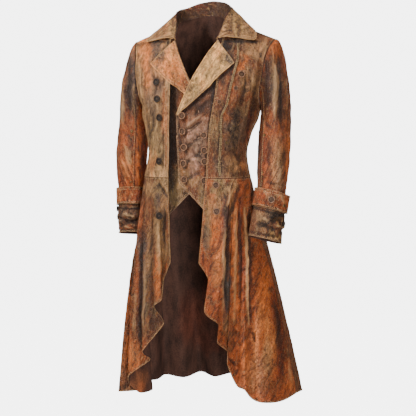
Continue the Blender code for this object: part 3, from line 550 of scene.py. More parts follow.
    # Hide grain 1.6 mm across, under the crumple and the raised streaks
    cells = add_node(tree, "ShaderNodeTexVoronoi", {"Vector": place}, {"Scale": 1 / 0.0016},
                     feature="DISTANCE_TO_EDGE").outputs["Distance"]
    grain = add_node(tree, "ShaderNodeBump", {"Height": cells}, {"Strength": 0.25, "Distance": 0.0006})
    crumpled = add_node(tree, "ShaderNodeBump", {"Height": patterns["crumple"], "Normal": grain.outputs[0]},
                        {"Strength": 1.0, "Distance": 0.0180 * creasing})
    streaked = add_node(tree, "ShaderNodeBump", {"Height": marks, "Normal": crumpled.outputs[0]},
                        {"Strength": 1.0, "Distance": 0.0045})
    tree.links.new(streaked.outputs[0], shader.inputs["Normal"])
    return made


def flesh_side():
    """The hide's inside: dyed dark, napped and matt, redder where the dye took less."""
    made, tree, shader = new_finish("dark flesh side of the hide")
    paint = add_node(tree, "ShaderNodeAttribute", attribute_name="paint").outputs["Color"]
    place = add_node(tree, "ShaderNodeTexCoord").outputs["Object"]
    hung = add_node(tree, "ShaderNodeMapping", {"Vector": place},
                    {"Scale": (1 / 0.022, 1 / 0.022, 1 / 0.080)})
    cloud = add_node(tree, "ShaderNodeTexNoise", {"Vector": hung.outputs[0]}, {"Scale": 1.0, "Detail": 6.0})
    nap = add_node(tree, "ShaderNodeTexNoise", {"Vector": place}, {"Scale": 1 / 0.003, "Detail": 4.0})
    both = add_node(tree, "ShaderNodeMath", {0: cloud.outputs["Fac"], 1: nap.outputs["Fac"]})
    tone = add_node(tree, "ShaderNodeMapRange", {"Value": both.outputs[0]},
                    {"From Min": 0.80, "From Max": 1.20, "To Min": 0.55, "To Max": 1.50})
    colour = add_node(tree, "ShaderNodeVectorMath", {0: paint, "Scale": tone.outputs[0]}, operation="SCALE")
    tree.links.new(colour.outputs[0], shader.inputs["Base Color"])
    bump = add_node(tree, "ShaderNodeBump", {"Height": nap.outputs["Fac"]},
                    {"Strength": 0.5, "Distance": 0.0010})
    tree.links.new(bump.outputs[0], shader.inputs["Normal"])
    shader.inputs["Roughness"].default_value = 0.85
    shader.inputs["Specular IOR Level"].default_value = 0.20
    return made


# Patches of the inside, which shows between the skirts and in the neck
INSIDE_PAINT = (
    (-205, -1115, 26, 50, "brown", 0.8), (-200, -1130, 16, 26, "rust", 0.3),
    (-45, -940, 40, 90, "brick", 0.16), (10, -860, 20, 120, "brick", 0.14),
    (-80, -700, 30, 150, "black", 0.3), (20, -1020, 50, 40, "brick", 0.12),
    (-120, -1000, 20, 60, "black", 0.3),
)
COAT_LEATHER = leather("waxed cowhide, rust brown", 0.50, 0.52, 0.85, 0.36, "#241b17", "#be9162")
FLESH_SIDE = flesh_side()


def relief(points, creases, rumple):
    """How far the leather stands out at points: its creases and its fine unevenness."""
    fold = crease_heights(points, creases) if creases else np.zeros(points.shape[:-1])
    waves = hills(points, (0.034, 0.034, 0.060)) + 0.6 * hills(points + 3.0, (0.013, 0.013, 0.020)) - 0.8
    return fold + waves * 2.0 * rumple


COAT_RUMPLE = 0.0026
# How far from a seam the leather is held flat
SEAM_HOLD = 0.012
# Skin of each piece and which way it faces, kept for its stitches
skins = {}


def sew(name, outer, inward, finish, paint, free=(), seams=(), creases=(),
        around=False, thick=LEATHER_THICK, rumple=COAT_RUMPLE):
    """One cut piece of leather: a closed wall on a grid of outer points, creased, painted and ridden.

    A free edge is rolled and stitched, a seam lies flat.
    """
    facing = facing_of(outer, inward)
    fold = relief(outer, creases, rumple) * smooth_step(to_edges(outer, seams) / SEAM_HOLD)
    border = to_edges(outer, free)
    groove = 0.0006 * np.exp(-(((border - STITCH_INSET) / 0.0014) ** 2))
    roll = 0.0007 * np.exp(-((border / 0.0030) ** 2)) - groove
    skin = outer + facing * (fold + roll)[..., None]
    lining = skin - facing * thick
    rows, columns = skin.shape[:2]
    size = rows * columns
    wide = columns if around else columns - 1
    r, c = np.meshgrid(np.arange(rows - 1), np.arange(wide), indexing="ij")

    def corner(down, over):
        return ((r + down) * columns + (c + over) % columns).reshape(-1)

    square = np.stack([corner(0, 0), corner(0, 1), corner(1, 1), corner(1, 0)], axis=-1)
    quad = skin.reshape(-1, 3)[square]
    normal = np.cross(quad[:, 1] - quad[:, 0], quad[:, 3] - quad[:, 0])
    if np.sum(normal * facing.reshape(-1, 3)[square[:, 0]]) < 0.0:
        square = square[:, ::-1]
    back = square[:, ::-1] + size
    edges = np.concatenate([square[:, [i, (i + 1) % 4]] for i in range(4)])
    _, first, count = np.unique(np.sort(edges, axis=1), axis=0, return_index=True, return_counts=True)
    start, end = edges[first[count == 1]].T
    rims = np.stack([end, start, start + size, end + size], axis=-1)
    faces = np.concatenate([square, rims, back])
    points = np.concatenate([skin.reshape(-1, 3), lining.reshape(-1, 3)])
    mesh = bpy.data.meshes.new(name + "_skin")
    mesh.from_pydata(points.tolist(), [], faces.tolist())
    closed = np.concatenate([skin, skin[:, :1]], axis=1) if around else skin
    across, down = distances(closed)
    flat_u = np.concatenate([across[:, :columns].reshape(-1)] * 2)
    flat_v = np.concatenate([-down[:, :columns].reshape(-1)] * 2)
    corners = np.zeros(len(mesh.loops), int)
    mesh.loops.foreach_get("vertex_index", corners)
    u, v = flat_u[corners], flat_v[corners]
    if around:
        per_face = u.reshape(-1, 4)
        whole = across[:, -1].mean()
        wraps = per_face.max(axis=1) - per_face.min(axis=1) > whole / 2.0
        per_face[wraps[:, None] & (per_face == 0.0)] = whole
        u = per_face.reshape(-1)
    layer = mesh.uv_layers.new(name="cut")
    layer.data.foreach_set("uv", np.stack([u, v], axis=-1).astype(np.float32).reshape(-1))
    for label, values in (("edge", to_edges(skin, free)), ("seam", to_edges(skin, seams)), ("fold", fold)):
        data = mesh.attributes.new(label, "FLOAT", "POINT").data
        data.foreach_set("value", np.concatenate([values.reshape(-1)] * 2).astype(np.float32))
    colour = np.ones((len(points), 4), np.float32)
    colour[:size, :3] = paint(skin).reshape(-1, 3)
    colour[size:, :3] = painted(lining, "lining", INSIDE_PAINT).reshape(-1, 3)
    mesh.attributes.new("paint", "FLOAT_COLOR", "POINT").data.foreach_set("color", colour.reshape(-1))
    mesh.materials.append(finish)
    mesh.materials.append(FLESH_SIDE)
    inside = np.zeros(len(faces), int)
    inside[len(square) + len(rims):] = 1
    mesh.polygons.foreach_set("material_index", inside)
    mesh.shade_smooth()
    mesh.set_sharp_from_angle(angle=math.radians(50.0))
    skins[name] = (skin, facing)
    piece = placed(name + "_skin", mesh)
    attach(piece, "root")
    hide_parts(name)


levels = np.linspace(0.0, WAIST, 141)[:, None]
parts = np.linspace(0.0, 1.0, 67)[None, :]
for side in SIDES:
    # Name, surface, base tones, patches, painted shade lines, creases, free and sewn edges, flat cut
    for name, surface, base, patches, painted_shade_lines, creases, free, seams, cut in (
        ("bodice_front_", front_surface, {"left": "brown", "right": "tan"}, FRONT_PAINT, FRONT_PAINTED_SHADE,
         FRONT_CREASES, ("first",), ("last", "top", "bottom"), (0.215, 0.500, 0.0745)),
        ("bodice_back_", back_surface, {"left": "brown", "right": "brown"}, BACK_PAINT, (),
         BACK_CREASES, (), ("first", "last", "top", "bottom"), (0.250, 0.530, 0.1000)),
    ):
        grid = surface(side, parts, levels)
        finish = partial(painted, base=base[side], patches=patches, painted_shade_lines=painted_shade_lines)
        sew(name + side, grid, -body_normal(grid), COAT_LEATHER, finish,
            free, seams, creases)

# Skirts: two fronts and two backs, flared and eased into the waist seam, hanging in deep folds.
# The fronts' hems climb in zig-zags to the cut-away front edges; every hem is turned and stitched.

# Skirt fold lines, from the left front edge round the back to the right front edge: place on the waist
# seam (0 left edge, 1 left side, 2 centre back, 3 right side, 4 right edge), hem x, y, z, how far the
# line bellies out, how far the hanging cuff tucks it in, and how late (over 1) it leaves the waist's line
FOLDS = (
    (0.00, 0.036, -0.163, -0.720, 0.000, 0.000, 1.0),
    (0.08, 0.060, -0.146, -0.770, 0.000, 0.000, 1.6),
    (0.16, 0.056, -0.166, -0.866, 0.000, 0.000, 1.6),
    (0.32, 0.090, -0.136, -0.905, 0.000, 0.000, 1.8),
    (0.55, 0.096, -0.168, -0.952, 0.000, 0.000, 0.5),
    (0.58, 0.114, -0.127, -0.985, 0.000, 0.000, 0.5),
    (0.63, 0.124, -0.156, -1.020, 0.000, 0.000, 0.6),
    (0.69, 0.140, -0.122, -1.085, 0.000, 0.000, 0.7),
    (0.75, 0.170, -0.136, -1.095, 0.000, 0.006, 0.8),
    (0.81, 0.186, -0.108, -1.127, 0.000, 0.014, 0.8),
    (0.88, 0.220, -0.106, -1.136, 0.002, 0.030, 1.0),
    (0.94, 0.258, -0.050, -1.140, 0.003, 0.038, 1.0),
    (1.00, 0.286, 0.030, -1.128, 0.004, 0.016, 1.0),
    (1.12, 0.280, 0.110, -1.135, 0.005, 0.004, 1.0),
    (1.26, 0.222, 0.140, -1.138, 0.006, 0.000, 1.0),
    (1.40, 0.212, 0.212, -1.132, 0.008, 0.000, 1.0),
    (1.55, 0.142, 0.208, -1.142, 0.010, 0.000, 1.0),
    (1.69, 0.112, 0.268, -1.130, 0.010, 0.000, 1.0),
    (1.85, 0.050, 0.238, -1.138, 0.010, 0.000, 1.0),
    (2.00, 0.004, 0.274, -1.130, 0.010, 0.000, 1.0),
    (2.15, -0.048, 0.240, -1.140, 0.010, 0.000, 1.0),
    (2.31, -0.106, 0.266, -1.132, 0.010, 0.000, 1.0),
    (2.45, -0.142, 0.205, -1.142, 0.010, 0.000, 1.0),
    (2.60, -0.206, 0.202, -1.136, 0.010, 0.000, 1.0),
    (2.74, -0.212, 0.130, -1.140, 0.010, 0.010, 1.0),
    (2.88, -0.266, 0.090, -1.138, 0.010, 0.034, 1.0),
    (3.00, -0.262, 0.020, -1.142, 0.010, 0.030, 1.0),
    (3.08, -0.264, -0.056, -1.145, 0.010, 0.010, 1.0),
    (3.16, -0.172, -0.012, -1.140, 0.010, 0.000, 1.0),
    (3.22, -0.192, -0.070, -1.140, 0.010, 0.000, 1.0),
    (3.32, -0.212, -0.108, -1.086, 0.012, 0.000, 1.0),
    (3.42, -0.144, -0.098, -1.030, 0.008, 0.000, 1.0),
    (3.52, -0.152, -0.140, -0.997, 0.008, 0.000, 1.0),
    (3.62, -0.090, -0.120, -0.912, 0.004, 0.000, 1.3),
    (3.70, -0.106, -0.163, -0.855, 0.002, 0.000, 1.0),
    (3.80, -0.079, -0.168, -0.833, 0.000, 0.000, 1.0),
    (3.88, -0.083, -0.143, -0.780, 0.000, 0.000, 1.0),
    (4.00, -0.053, -0.163, -0.720, 0.000, 0.000, 1.0),
)
CUFF_HEIGHT, CUFF_REACH = -0.600, 0.085
# The skirts hang round an axis at this y
SKIRT_MIDDLE_Y = -0.020
# Share of each fold that is pressed sharp by the cut-away edges; it is none at the sides and back
FOLD_SHARPNESS = 0.5
# Long ridges and grooves of the left front skirt, as the photo shows them
LEFT_SKIRT_CREASES = (
    (93, -478, 60, -560, 4, 4), (102, -490, 69, -600, 5, -6), (69, -600, 60, -860, 6, -5),
    (60, -600, 52, -870, 6, 4), (93, -550, 85, -900, 6, 4.5), (104, -520, 103, -840, 5, -4.5),
    (118, -560, 128, -910, 5, 4), (132, -560, 134, -900, 5, -4.5), (127, -480, 141, -520, 4, -3.5),
    (212, -740, 236, -1090, 14, -3), (226, -780, 262, -1110, 10, 3), (119, -560, 126, -905, 3.5, 5),
    (126, -680, 131, -900, 3.5, -5), (138, -925, 150, -955, 3, -7), (76, -1000, 92, -1025, 3, -6),
)
LEFT_SKIRT_PAINT = (
    (8, -600, 12, 80, "olive", 0.75), (4, -640, 8, 40, "grey", 0.6), (36, -490, 24, 30, "olive", 0.75),
    (60, -476, 30, 10, "tan", 0.6), (48, -498, 34, 34, "olive", 0.85), (78, -484, 24, 22, "tan", 0.85),
    (40, -535, 14, 30, "tan", 0.55), (30, -560, 20, 40, "tan", 0.45), (30, -640, 16, 80, "orange", 0.5),
    (38, -740, 18, 60, "peach", 0.45), (20, -700, 10, 40, "umber", 0.45),
    # The slate and umber strip at across 60 to 67 mm is painted shade in the deep groove there, over the
    # leather's own grey
    (60, -580, 12, 70, "slate", 0.85), (64, -680, 10, 60, "umber", 0.7), (66, -800, 12, 70, "slate", 0.85),
    (67, -640, 12, 130, "umber", 0.75), (63, -790, 13, 100, "slate", 0.85), (80, -560, 10, 60, "tan", 0.5),
    (88, -660, 12, 110, "orange", 0.75), (92, -820, 14, 80, "orange", 0.55),
    (106, -620, 8, 110, "brick", 0.7), (110, -760, 8, 100, "brick", 0.55),
    (124, -760, 6, 160, "tan", 0.55), (135, -640, 9, 110, "umber", 0.65),
    (130, -930, 10, 60, "umber", 0.45), (70, -930, 16, 60, "brown", 0.65), (60, -900, 10, 30, "tan", 0.4),
    (170, -720, 24, 80, "rust", 0.6), (186, -880, 34, 130, "orange", 0.8),
    (196, -960, 22, 100, "peach", 0.6), (186, -1000, 16, 50, "tan", 0.5),
    (150, -960, 10, 90, "peach", 0.4), (228, -850, 16, 130, "brick", 0.8),
    (204, -850, 12, 90, "brick", 0.75), (218, -940, 10, 80, "umber", 0.6),
    (230, -1030, 12, 80, "brick", 0.7), (240, -960, 12, 80, "umber", 0.55),
    (262, -1020, 16, 100, "rust", 0.6), (250, -1100, 30, 20, "orange", 0.6),
    (150, -1050, 40, 60, "tan", 0.35), (120, -1000, 20, 60, "orange", 0.45),
    (200, -1090, 50, 24, "brown", 0.45), (160, -880, 12, 50, "peach", 0.4),
)
RIGHT_SKIRT_CREASES = (
    (-142, -480, -112, -532, 4, -5), (-134, -476, -106, -520, 4, 3), (-125, -560, -120, -680, 4, -6),
    (-140, -560, -135, -800, 6, 3.5), (-160, -580, -165, -860, 6, -3.5), (-182, -720, -184, -960, 5, 4.5),
    (-192, -640, -200, -980, 6, -4.5), (-210, -760, -222, -1060, 8, 3), (-160, -900, -175, -990, 5, -3),
)
RIGHT_SKIRT_PAINT = (
    (-236, -900, 14, 200, "rust", 0.6), (-222, -760, 6, 160, "umber", 0.6),
    (-220, -1030, 30, 60, "orange", 0.6), (-190, -700, 14, 60, "slate", 0.85),
    (-184, -820, 10, 80, "slate", 0.75), (-198, -930, 10, 60, "black", 0.7),
    (-200, -600, 14, 60, "rust", 0.6), (-206, -760, 8, 120, "rust", 0.55),
    (-166, -700, 10, 90, "tan", 0.6), (-176, -860, 6, 100, "olive", 0.65),
    (-140, -600, 20, 60, "olive", 0.6), (-130, -680, 16, 60, "tan", 0.75),
    (-108, -690, 8, 50, "olive", 0.55), (-112, -740, 10, 24, "rust", 0.6),
    (-140, -760, 12, 70, "orange", 0.65), (-150, -900, 20, 60, "umber", 0.85),
    (-130, -880, 12, 40, "black", 0.6), (-150, -860, 8, 30, "olive", 0.55),
    (-180, -1000, 20, 30, "rust", 0.6), (-130, -490, 40, 30, "olive", 0.75),
    (-165, -500, 20, 40, "tan", 0.55), (-118, -530, 16, 50, "tan", 0.6),
    (-140, -530, 10, 30, "slate", 0.6),
)
BACK_SKIRT_PAINT = (
    (-160, -700, 40, 140, "rust", 0.55), (140, -680, 40, 160, "grey", 0.55),
    (-50, -640, 30, 150, "umber", 0.55), (50, -850, 40, 160, "orange", 0.5),
    (-120, -980, 50, 100, "tan", 0.45), (200, -980, 50, 120, "rust", 0.6),
    (0, -1050, 70, 60, "brick", 0.55), (120, -1080, 40, 50, "slate", 0.5),
)


def waist_seam(place):
    """Point of the waist seam: 0 left edge, 1 left side, 2 centre back, 3 right side, 4 right edge."""
    place = np.asarray(place, float)
    ring = front_surface("left", place, WAIST)
    ring = np.where(place[..., None] > 1.0, back_surface("left", 2.0 - place, WAIST), ring)
    ring = np.where(place[..., None] > 2.0, back_surface("right", place - 2.0, WAIST), ring)
    return np.where(place[..., None] > 3.0, front_surface("right", 4.0 - place, WAIST), ring)


def skirt_surface(line, fall):
    """Skirt: line counts the fold lines, fall runs from the waist seam (0) to the hem (1)."""
    line, fall = np.broadcast_arrays(np.asarray(line, float), np.asarray(fall, float))
    fall = np.clip(fall, 0.0, 1.0)
    smooth, straight = curve(FOLDS, line), straight_curve(FOLDS, line)
    sharp = FOLD_SHARPNESS * (1.0 - smooth_step(line - 6.5) * smooth_step(32.0 - line))[..., None]
    found = smooth + (straight - smooth) * sharp
    hem, belly, tuck, late = found[..., 1:4], found[..., 4:5], found[..., 5:6], found[..., 6:7]
    start = waist_seam(np.clip(found[..., 0], 0.0, 4.0))
    outward = unit((start - np.array([lean(WAIST_Z), SKIRT_MIDDLE_Y, WAIST_Z]))[..., :2])
    fall = fall[..., None]
    flat = start[..., :2] + (hem[..., :2] - start[..., :2]) * fall**late
    z = WAIST_Z + (hem[..., 2:] - WAIST_Z) * fall
    pressed = np.exp(-(((z - CUFF_HEIGHT) / CUFF_REACH) ** 2)) * smooth_step(fall / 0.06)
    flat = flat + outward * (belly * 4.0 * fall * (1.0 - fall) - tuck * pressed)
    return np.concatenate([flat, z], axis=-1)


# Each skirt: first and last fold line, free and sewn edges, base tone, and its flat cut
for name, first, last, free, seams, base, patches, creases, cut in (
    ("skirt_front_left", 0, 12, ("first", "bottom"), ("last", "top"), "rust",
     LEFT_SKIRT_PAINT, LEFT_SKIRT_CREASES, (0.58, 0.680, 0.172)),
    ("skirt_back_left", 12, 19, ("bottom",), ("first", "last", "top"), "brown",
     BACK_SKIRT_PAINT, (), (0.60, 0.720, 0.240)),
    ("skirt_back_right", 19, 26, ("bottom",), ("first", "last", "top"), "brown",
     BACK_SKIRT_PAINT, (), (0.60, 0.720, 0.240)),
    ("skirt_front_right", 26, 37, ("last", "bottom"), ("first", "top"), "brown",
     RIGHT_SKIRT_PAINT, RIGHT_SKIRT_CREASES, (0.60, 0.680, 0.190)),
):
    lines = np.linspace(first, last, (last - first) * 10 + 1)[None, :]
    falls = np.linspace(0.0, 1.0, 97)[:, None]
    grid = skirt_surface(lines, falls)
    inward = unit((np.array([0.0, SKIRT_MIDDLE_Y, 0.0]) - grid[:1]) * np.array([1.0, 1.0, 0.0]))
    sew(name, grid, inward, COAT_LEATHER, partial(painted, base=base, patches=patches),
        free, seams, creases, rumple=0.0016)

# Sleeves: each cut in two, a broad top sleeve and a narrow under sleeve, and set into the armhole.
# The front seam shows down the inside of the arm; the lower end goes on inside the cuff.

# Arm from below the armhole to inside the cuff: z, left x, y, right x, y, half width, half depth
ARM_ROWS = (
    (-0.300, 0.2270, -0.012, -0.2290, -0.008, 0.0455, 0.056),
    (-0.345, 0.2280, -0.021, -0.2305, -0.012, 0.0480, 0.053),
    (-0.390, 0.2290, -0.031, -0.2330, -0.016, 0.0490, 0.051),
    (-0.440, 0.2280, -0.040, -0.2350, -0.016, 0.0480, 0.048),
    (-0.480, 0.2265, -0.047, -0.2360, -0.014, 0.0445, 0.045),
    (-0.515, 0.2250, -0.054, -0.2365, -0.010, 0.0415, 0.042),
    (-0.560, 0.2230, -0.062, -0.2368, -0.005, 0.0390, 0.040),
)
# How a sleeve's end and its cuff tilt: outward, forward
RING_TILT = {"left": (0.19, 0.24), "right": (0.05, 0.17)}
# Angles about the arm of the back seam, the front seam and the back seam again; 0 is outside, 90 is front
SLEEVE_SEAMS = (-125.0, 123.0, 235.0)
SLEEVE_PAINT = {
    "left": (
        (206, -85, 30, 40, "orange", 0.75), (236, -110, 14, 40, "rust", 0.45),
        (190, -180, 30, 100, "umber", 0.88), (200, -150, 10, 60, "tan", 0.35),
        (216, -215, 26, 90, "slate", 0.85), (242, -230, 18, 90, "brown", 0.75),
        (176, -250, 10, 50, "black", 0.6), (225, -290, 22, 30, "umber", 0.55),
        (210, -335, 38, 30, "rust", 0.85), (212, -430, 26, 80, "tan", 0.65),
        (206, -390, 14, 50, "brown", 0.45), (220, -470, 12, 50, "grey", 0.5),
        (250, -420, 14, 100, "orange", 0.8), (160, -420, 12, 110, "umber", 0.75),
        (176, -380, 8, 50, "brick", 0.6), (205, -310, 50, 120, "brown", 0.32),
    ),
    "right": (
        (-235, -78, 30, 50, "peach", 0.8), (-250, -115, 16, 60, "orange", 0.5),
        (-226, -180, 28, 115, "slate", 0.9), (-244, -235, 16, 70, "black", 0.65),
        (-214, -265, 10, 60, "umber", 0.6), (-266, -265, 18, 60, "grey", 0.75),
        (-200, -200, 12, 80, "umber", 0.7), (-236, -360, 36, 50, "rust", 0.85),
        (-240, -445, 24, 40, "peach", 0.45), (-262, -490, 16, 40, "brick", 0.55),
        (-205, -420, 10, 110, "orange", 0.6), (-188, -400, 10, 130, "brick", 0.8),
        (-232, -395, 10, 40, "slate", 0.45), (-236, -380, 50, 110, "brown", 0.32),
    ),
}
SLEEVE_CREASES = {
    "left": (
        (180, -90, 186, -260, 6, -5), (204, -110, 208, -300, 7, 4.5), (222, -130, 226, -330, 5, -4.5),
        (240, -170, 244, -300, 6, 3), (168, -300, 205, -330, 6, -3.5), (188, -350, 192, -480, 6, -3),
        (214, -350, 222, -500, 8, 3), (236, -380, 232, -490, 5, -3), (180, -480, 235, -492, 5, -3),
    ),
    "right": (
        (-232, -110, -230, -300, 6, -5), (-214, -140, -212, -330, 6, 4), (-252, -160, -252, -320, 7, 3.5),
        (-262, -330, -225, -352, 7, -3), (-250, -365, -222, -440, 8, 4), (-218, -360, -216, -480, 5, -3.5),
        (-262, -430, -256, -500, 6, -2.5), (-190, -330, -190, -480, 7, -3),
    ),
}
# Each sleeve piece: name, first and last seam, columns of the grid, flat cut
SLEEVE_PIECES = (
    ("top_sleeve_", 0, 1, 81, (0.240, 0.520, 0.0930)),
    ("under_sleeve_", 1, 2, 37, (0.100, 0.400, 0.0290)),
)


def arm_ring(side, row, angle, tilt=(0.0, 0.0)):
    """Ring of a sleeve or cuff: angle 0 is its outer side, 90 its front."""
    z, left_x, left_y, right_x, right_y, half_x, half_y = (row[..., i] for i in range(7))
    sign = SIDES[side]
    centre_x, centre_y = (left_x, left_y) if sign > 0 else (right_x, right_y)
    turn = np.radians(angle)
    off_x, off_y = half_x * np.cos(turn), -half_y * np.sin(turn)
    height = z - tilt[0] * off_x - tilt[1] * off_y
    return np.stack([centre_x + sign * off_x, centre_y + off_y, height], axis=-1)


def sleeve_surface(side, angle, level):
    """Sleeve: level 0 to 1 is the head, from the armhole to the first arm ring, then the arm's rows."""
    angle, level = np.broadcast_arrays(np.asarray(angle, float), np.maximum(level, 0.0))
    sign = np.array([SIDES[side], 1.0, 1.0])
    turn = np.radians(angle)
    start = armhole(angle) * sign
    top = (1.0 + np.cos(turn)) / 2.0
    leave = np.stack([0.030 + 0.050 * top, -0.030 * np.sin(turn), -0.030 + 0.010 * top], axis=-1) * sign
    start = start + body_normal(start) * 0.0010 + unit(leave) * 0.0012
    first = arm_ring(side, np.array(ARM_ROWS)[0], angle)
    arrive = np.array([0.0, 0.0, -1.0]) * np.linalg.norm(first - start, axis=-1, keepdims=True)
    part = np.clip(level, 0.0, 1.0)[..., None]
    head = eased(part, start, leave, first, arrive)
    tail = smooth_step((level - 4.0) / 2.0)
    tilt = (RING_TILT[side][0] * tail, RING_TILT[side][1] * tail)
    arm = arm_ring(side, curve(ARM_ROWS, level - 1.0), angle, tilt)
    return np.where(level[..., None] < 1.0, head, arm)


sleeve_levels = np.concatenate([np.linspace(0.0, 1.0, 37)[:-1], np.linspace(1.0, 7.0, 97)])[:, None]
for side in SIDES:
    for name, first, last, columns, cut in SLEEVE_PIECES:
        angles = np.linspace(SLEEVE_SEAMS[first], SLEEVE_SEAMS[last], columns)[None, :]
        grid = sleeve_surface(side, angles, sleeve_levels)
        middle = sleeve_surface(side, np.arange(0.0, 360.0, 20.0)[None, :], sleeve_levels).mean(axis=1)
        finish = partial(painted, base="rust", patches=SLEEVE_PAINT[side])
        sew(name + side, grid, middle[:, None] - grid, COAT_LEATHER, finish,
            (), ("first", "last", "top"), SLEEVE_CREASES[side])

# Cuffs: a tall lower cuff that hangs crumpled past the wrist, and a flared band turned up over it.
# Both are closed tubes of thicker, browner leather, held by the buttons on the outer side.

CUFF_THICK = 0.0021
# Cuff rings: z, left x, y, right x, y, half width, half depth
BAND_ROWS = (
    (-0.512, 0.2300, -0.055, -0.2335, -0.008, 0.0530, 0.0500),
    (-0.538, 0.2270, -0.060, -0.2350, -0.005, 0.0530, 0.0500),
    (-0.563, 0.2247, -0.064, -0.2360, -0.003, 0.0525, 0.0495),
)
LOWER_CUFF_ROWS = (
    (-0.5635, 0.2244, -0.0645, -0.2360, -0.003, 0.0470, 0.0440),
    (-0.590, 0.2215, -0.070, -0.2358, -0.001, 0.0492, 0.0465),
    (-0.620, 0.2180, -0.075, -0.2352, 0.001, 0.0485, 0.0455),
    (-0.652, 0.2145, -0.080, -0.2345, 0.002, 0.0500, 0.0470),
)
BAND_PAINT = (
    (170, -525, 30, 14, "brick", 0.55), (215, -545, 40, 14, "rust", 0.6),
    (240, -530, 16, 14, "orange", 0.6), (190, -555, 16, 10, "grey", 0.4), (205, -532, 34, 10, "tan", 0.7),
    (150, -535, 12, 22, "umber", 0.6), (222, -556, 12, 8, "umber", 0.5), (-232, -530, 20, 10, "tan", 0.6),
    (-240, -540, 30, 18, "rust", 0.7), (-265, -530, 12, 20, "peach", 0.45),
    (-205, -535, 14, 20, "brick", 0.6),
)
LOWER_CUFF_PAINT = (
    (175, -600, 30, 30, "grey", 0.6), (205, -590, 18, 16, "olive", 0.55),
    # The black patch at across 232 mm is painted shade in a crease of the left lower cuff
    (232, -590, 14, 18, "black", 0.65), (195, -640, 30, 12, "umber", 0.55),
    (165, -625, 18, 14, "tan", 0.45), (160, -590, 14, 30, "tan", 0.55), (210, -645, 26, 8, "pale", 0.6),
    (222, -600, 10, 6, "pale", 0.5), (-248, -600, 12, 8, "tan", 0.5), (-240, -590, 30, 22, "grey", 0.55),
    (-262, -612, 16, 16, "slate", 0.55), (-222, -625, 22, 14, "umber", 0.55),
    (-240, -650, 34, 12, "rust", 0.6),
)
BAND_CREASES = (
    (160, -530, 205, -545, 5, -2), (225, -520, 235, -555, 5, 2), (180, -560, 235, -562, 4, 2),
    (-270, -535, -215, -545, 5, -1.8), (-250, -525, -235, -560, 4, 1.6),
)
LOWER_CUFF_CREASES = (
    (150, -600, 200, -618, 5, -4.5), (170, -574, 206, -602, 4, -4.5), (198, -596, 240, -574, 4, -5),
    (200, -606, 238, -616, 5, 4.5), (160, -628, 214, -642, 5, -3.5), (210, -572, 224, -606, 4, -5),
    (160, -585, 190, -590, 5, 3.5), (215, -632, 240, -622, 4, -4), (-275, -600, -210, -620, 5, -4),
    (-268, -628, -206, -604, 5, -4.5), (-272, -646, -208, -636, 4, -4.5), (-255, -588, -215, -598, 4, 3.5),
    (-262, -616, -225, -640, 5, 4),
)
# Painted shade in black under the bands and in the creases of the lower cuffs
CUFF_PAINTED_SHADE = (
    (146, -557, 246, -583, 5, 0.9), (191, -583, 245, -576, 4, 0.85), (158, -595, 200, -616, 3, 0.8),
    (170, -610, 209, -577, 3, 0.75), (194, -622, 239, -607, 3, 0.85), (135, -625, 188, -637, 3, 0.7),
    (144, -646, 227, -655, 3, 0.75), (-280, -572, -200, -572, 5, 0.85), (-268, -600, -215, -612, 3, 0.8),
    (-262, -628, -212, -606, 3, 0.8), (-272, -640, -220, -646, 3, 0.7),
)
# Each cuff piece: name, rings, rows of the grid, base tone, patches, creases, waviness, flat cut
CUFF_PIECES = (
    ("cuff_band_", BAND_ROWS, 25, "rust", BAND_PAINT, BAND_CREASES, 0.0012, (0.320, 0.052, 0.0165)),
    ("cuff_", LOWER_CUFF_ROWS, 41, "brown", LOWER_CUFF_PAINT, LOWER_CUFF_CREASES, 0.0030,
     (0.300, 0.090, 0.0265)),
)
CUFF_LEATHER = leather("heavy waxed cowhide, cuff brown", 0.55, 0.50, 0.85, 0.50, "#231a16", "#bd966a", 1.3)
for side in SIDES:
    for name, rings, rows, base, patches, creases, waves, cut in CUFF_PIECES:
        around_arm = np.linspace(0.0, 360.0, 121)[None, :-1]
        steps = np.linspace(0.0, len(rings) - 1.0, rows)[:, None]
        grid = arm_ring(side, curve(rings, steps + 0.0 * around_arm), around_arm, RING_TILT[side])
        finish = partial(painted, base=base, patches=patches, painted_shade_lines=CUFF_PAINTED_SHADE)
        sew(name + side, grid, grid.mean(axis=1, keepdims=True) - grid, CUFF_LEATHER, finish,
            ("top", "bottom"), (), creases, True, CUFF_THICK, waves)

# Waistcoat front: an over front buttoned across an under front, sewn in under the coat's fronts.
# It ends in an inverted V, topstitched twice; the buttons pull short creases into the leather.

# Depth at the middle and how it rounds away, for each level
WAISTCOAT_ROWS = (
    (-0.050, -0.093, 2.9),
    (-0.100, -0.113, 2.2),
    (-0.140, -0.125, 1.8),
    (-0.190, -0.136, 1.4),
    (-0.250, -0.1395, 1.2),
    (-0.300, -0.1385, 1.1),
    (-0.390, -0.1350, 1.1),
    (-0.470, -0.1345, 1.1),
    (-0.600, -0.1400, 0.9),
)
# Its panels, a row for each level: x and z of the free edge, x and z of the edge sewn under the coat
OVER_FRONT = (
    (0.069, -0.062, 0.072, -0.062),
    (0.052, -0.092, 0.092, -0.105),
    (0.025, -0.140, 0.098, -0.150),
    (0.000, -0.188, 0.098, -0.200),
    (-0.0210, -0.233, 0.096, -0.245),
    (-0.0405, -0.279, 0.090, -0.300),
    (-0.0430, -0.340, 0.084, -0.380),
    (-0.0410, -0.410, 0.082, -0.480),
    (-0.0370, -0.484, 0.082, -0.602),
)
UNDER_FRONT = (
    (-0.066, -0.062, -0.069, -0.062),
    (-0.050, -0.092, -0.088, -0.105),
    (-0.025, -0.140, -0.092, -0.150),
    (0.000, -0.188, -0.092, -0.200),
    (0.018, -0.235, -0.092, -0.245),
    (0.030, -0.290, -0.090, -0.300),
    (0.034, -0.350, -0.088, -0.390),
    (0.030, -0.420, -0.088, -0.490),
    (0.016, -0.497, -0.088, -0.602),
)
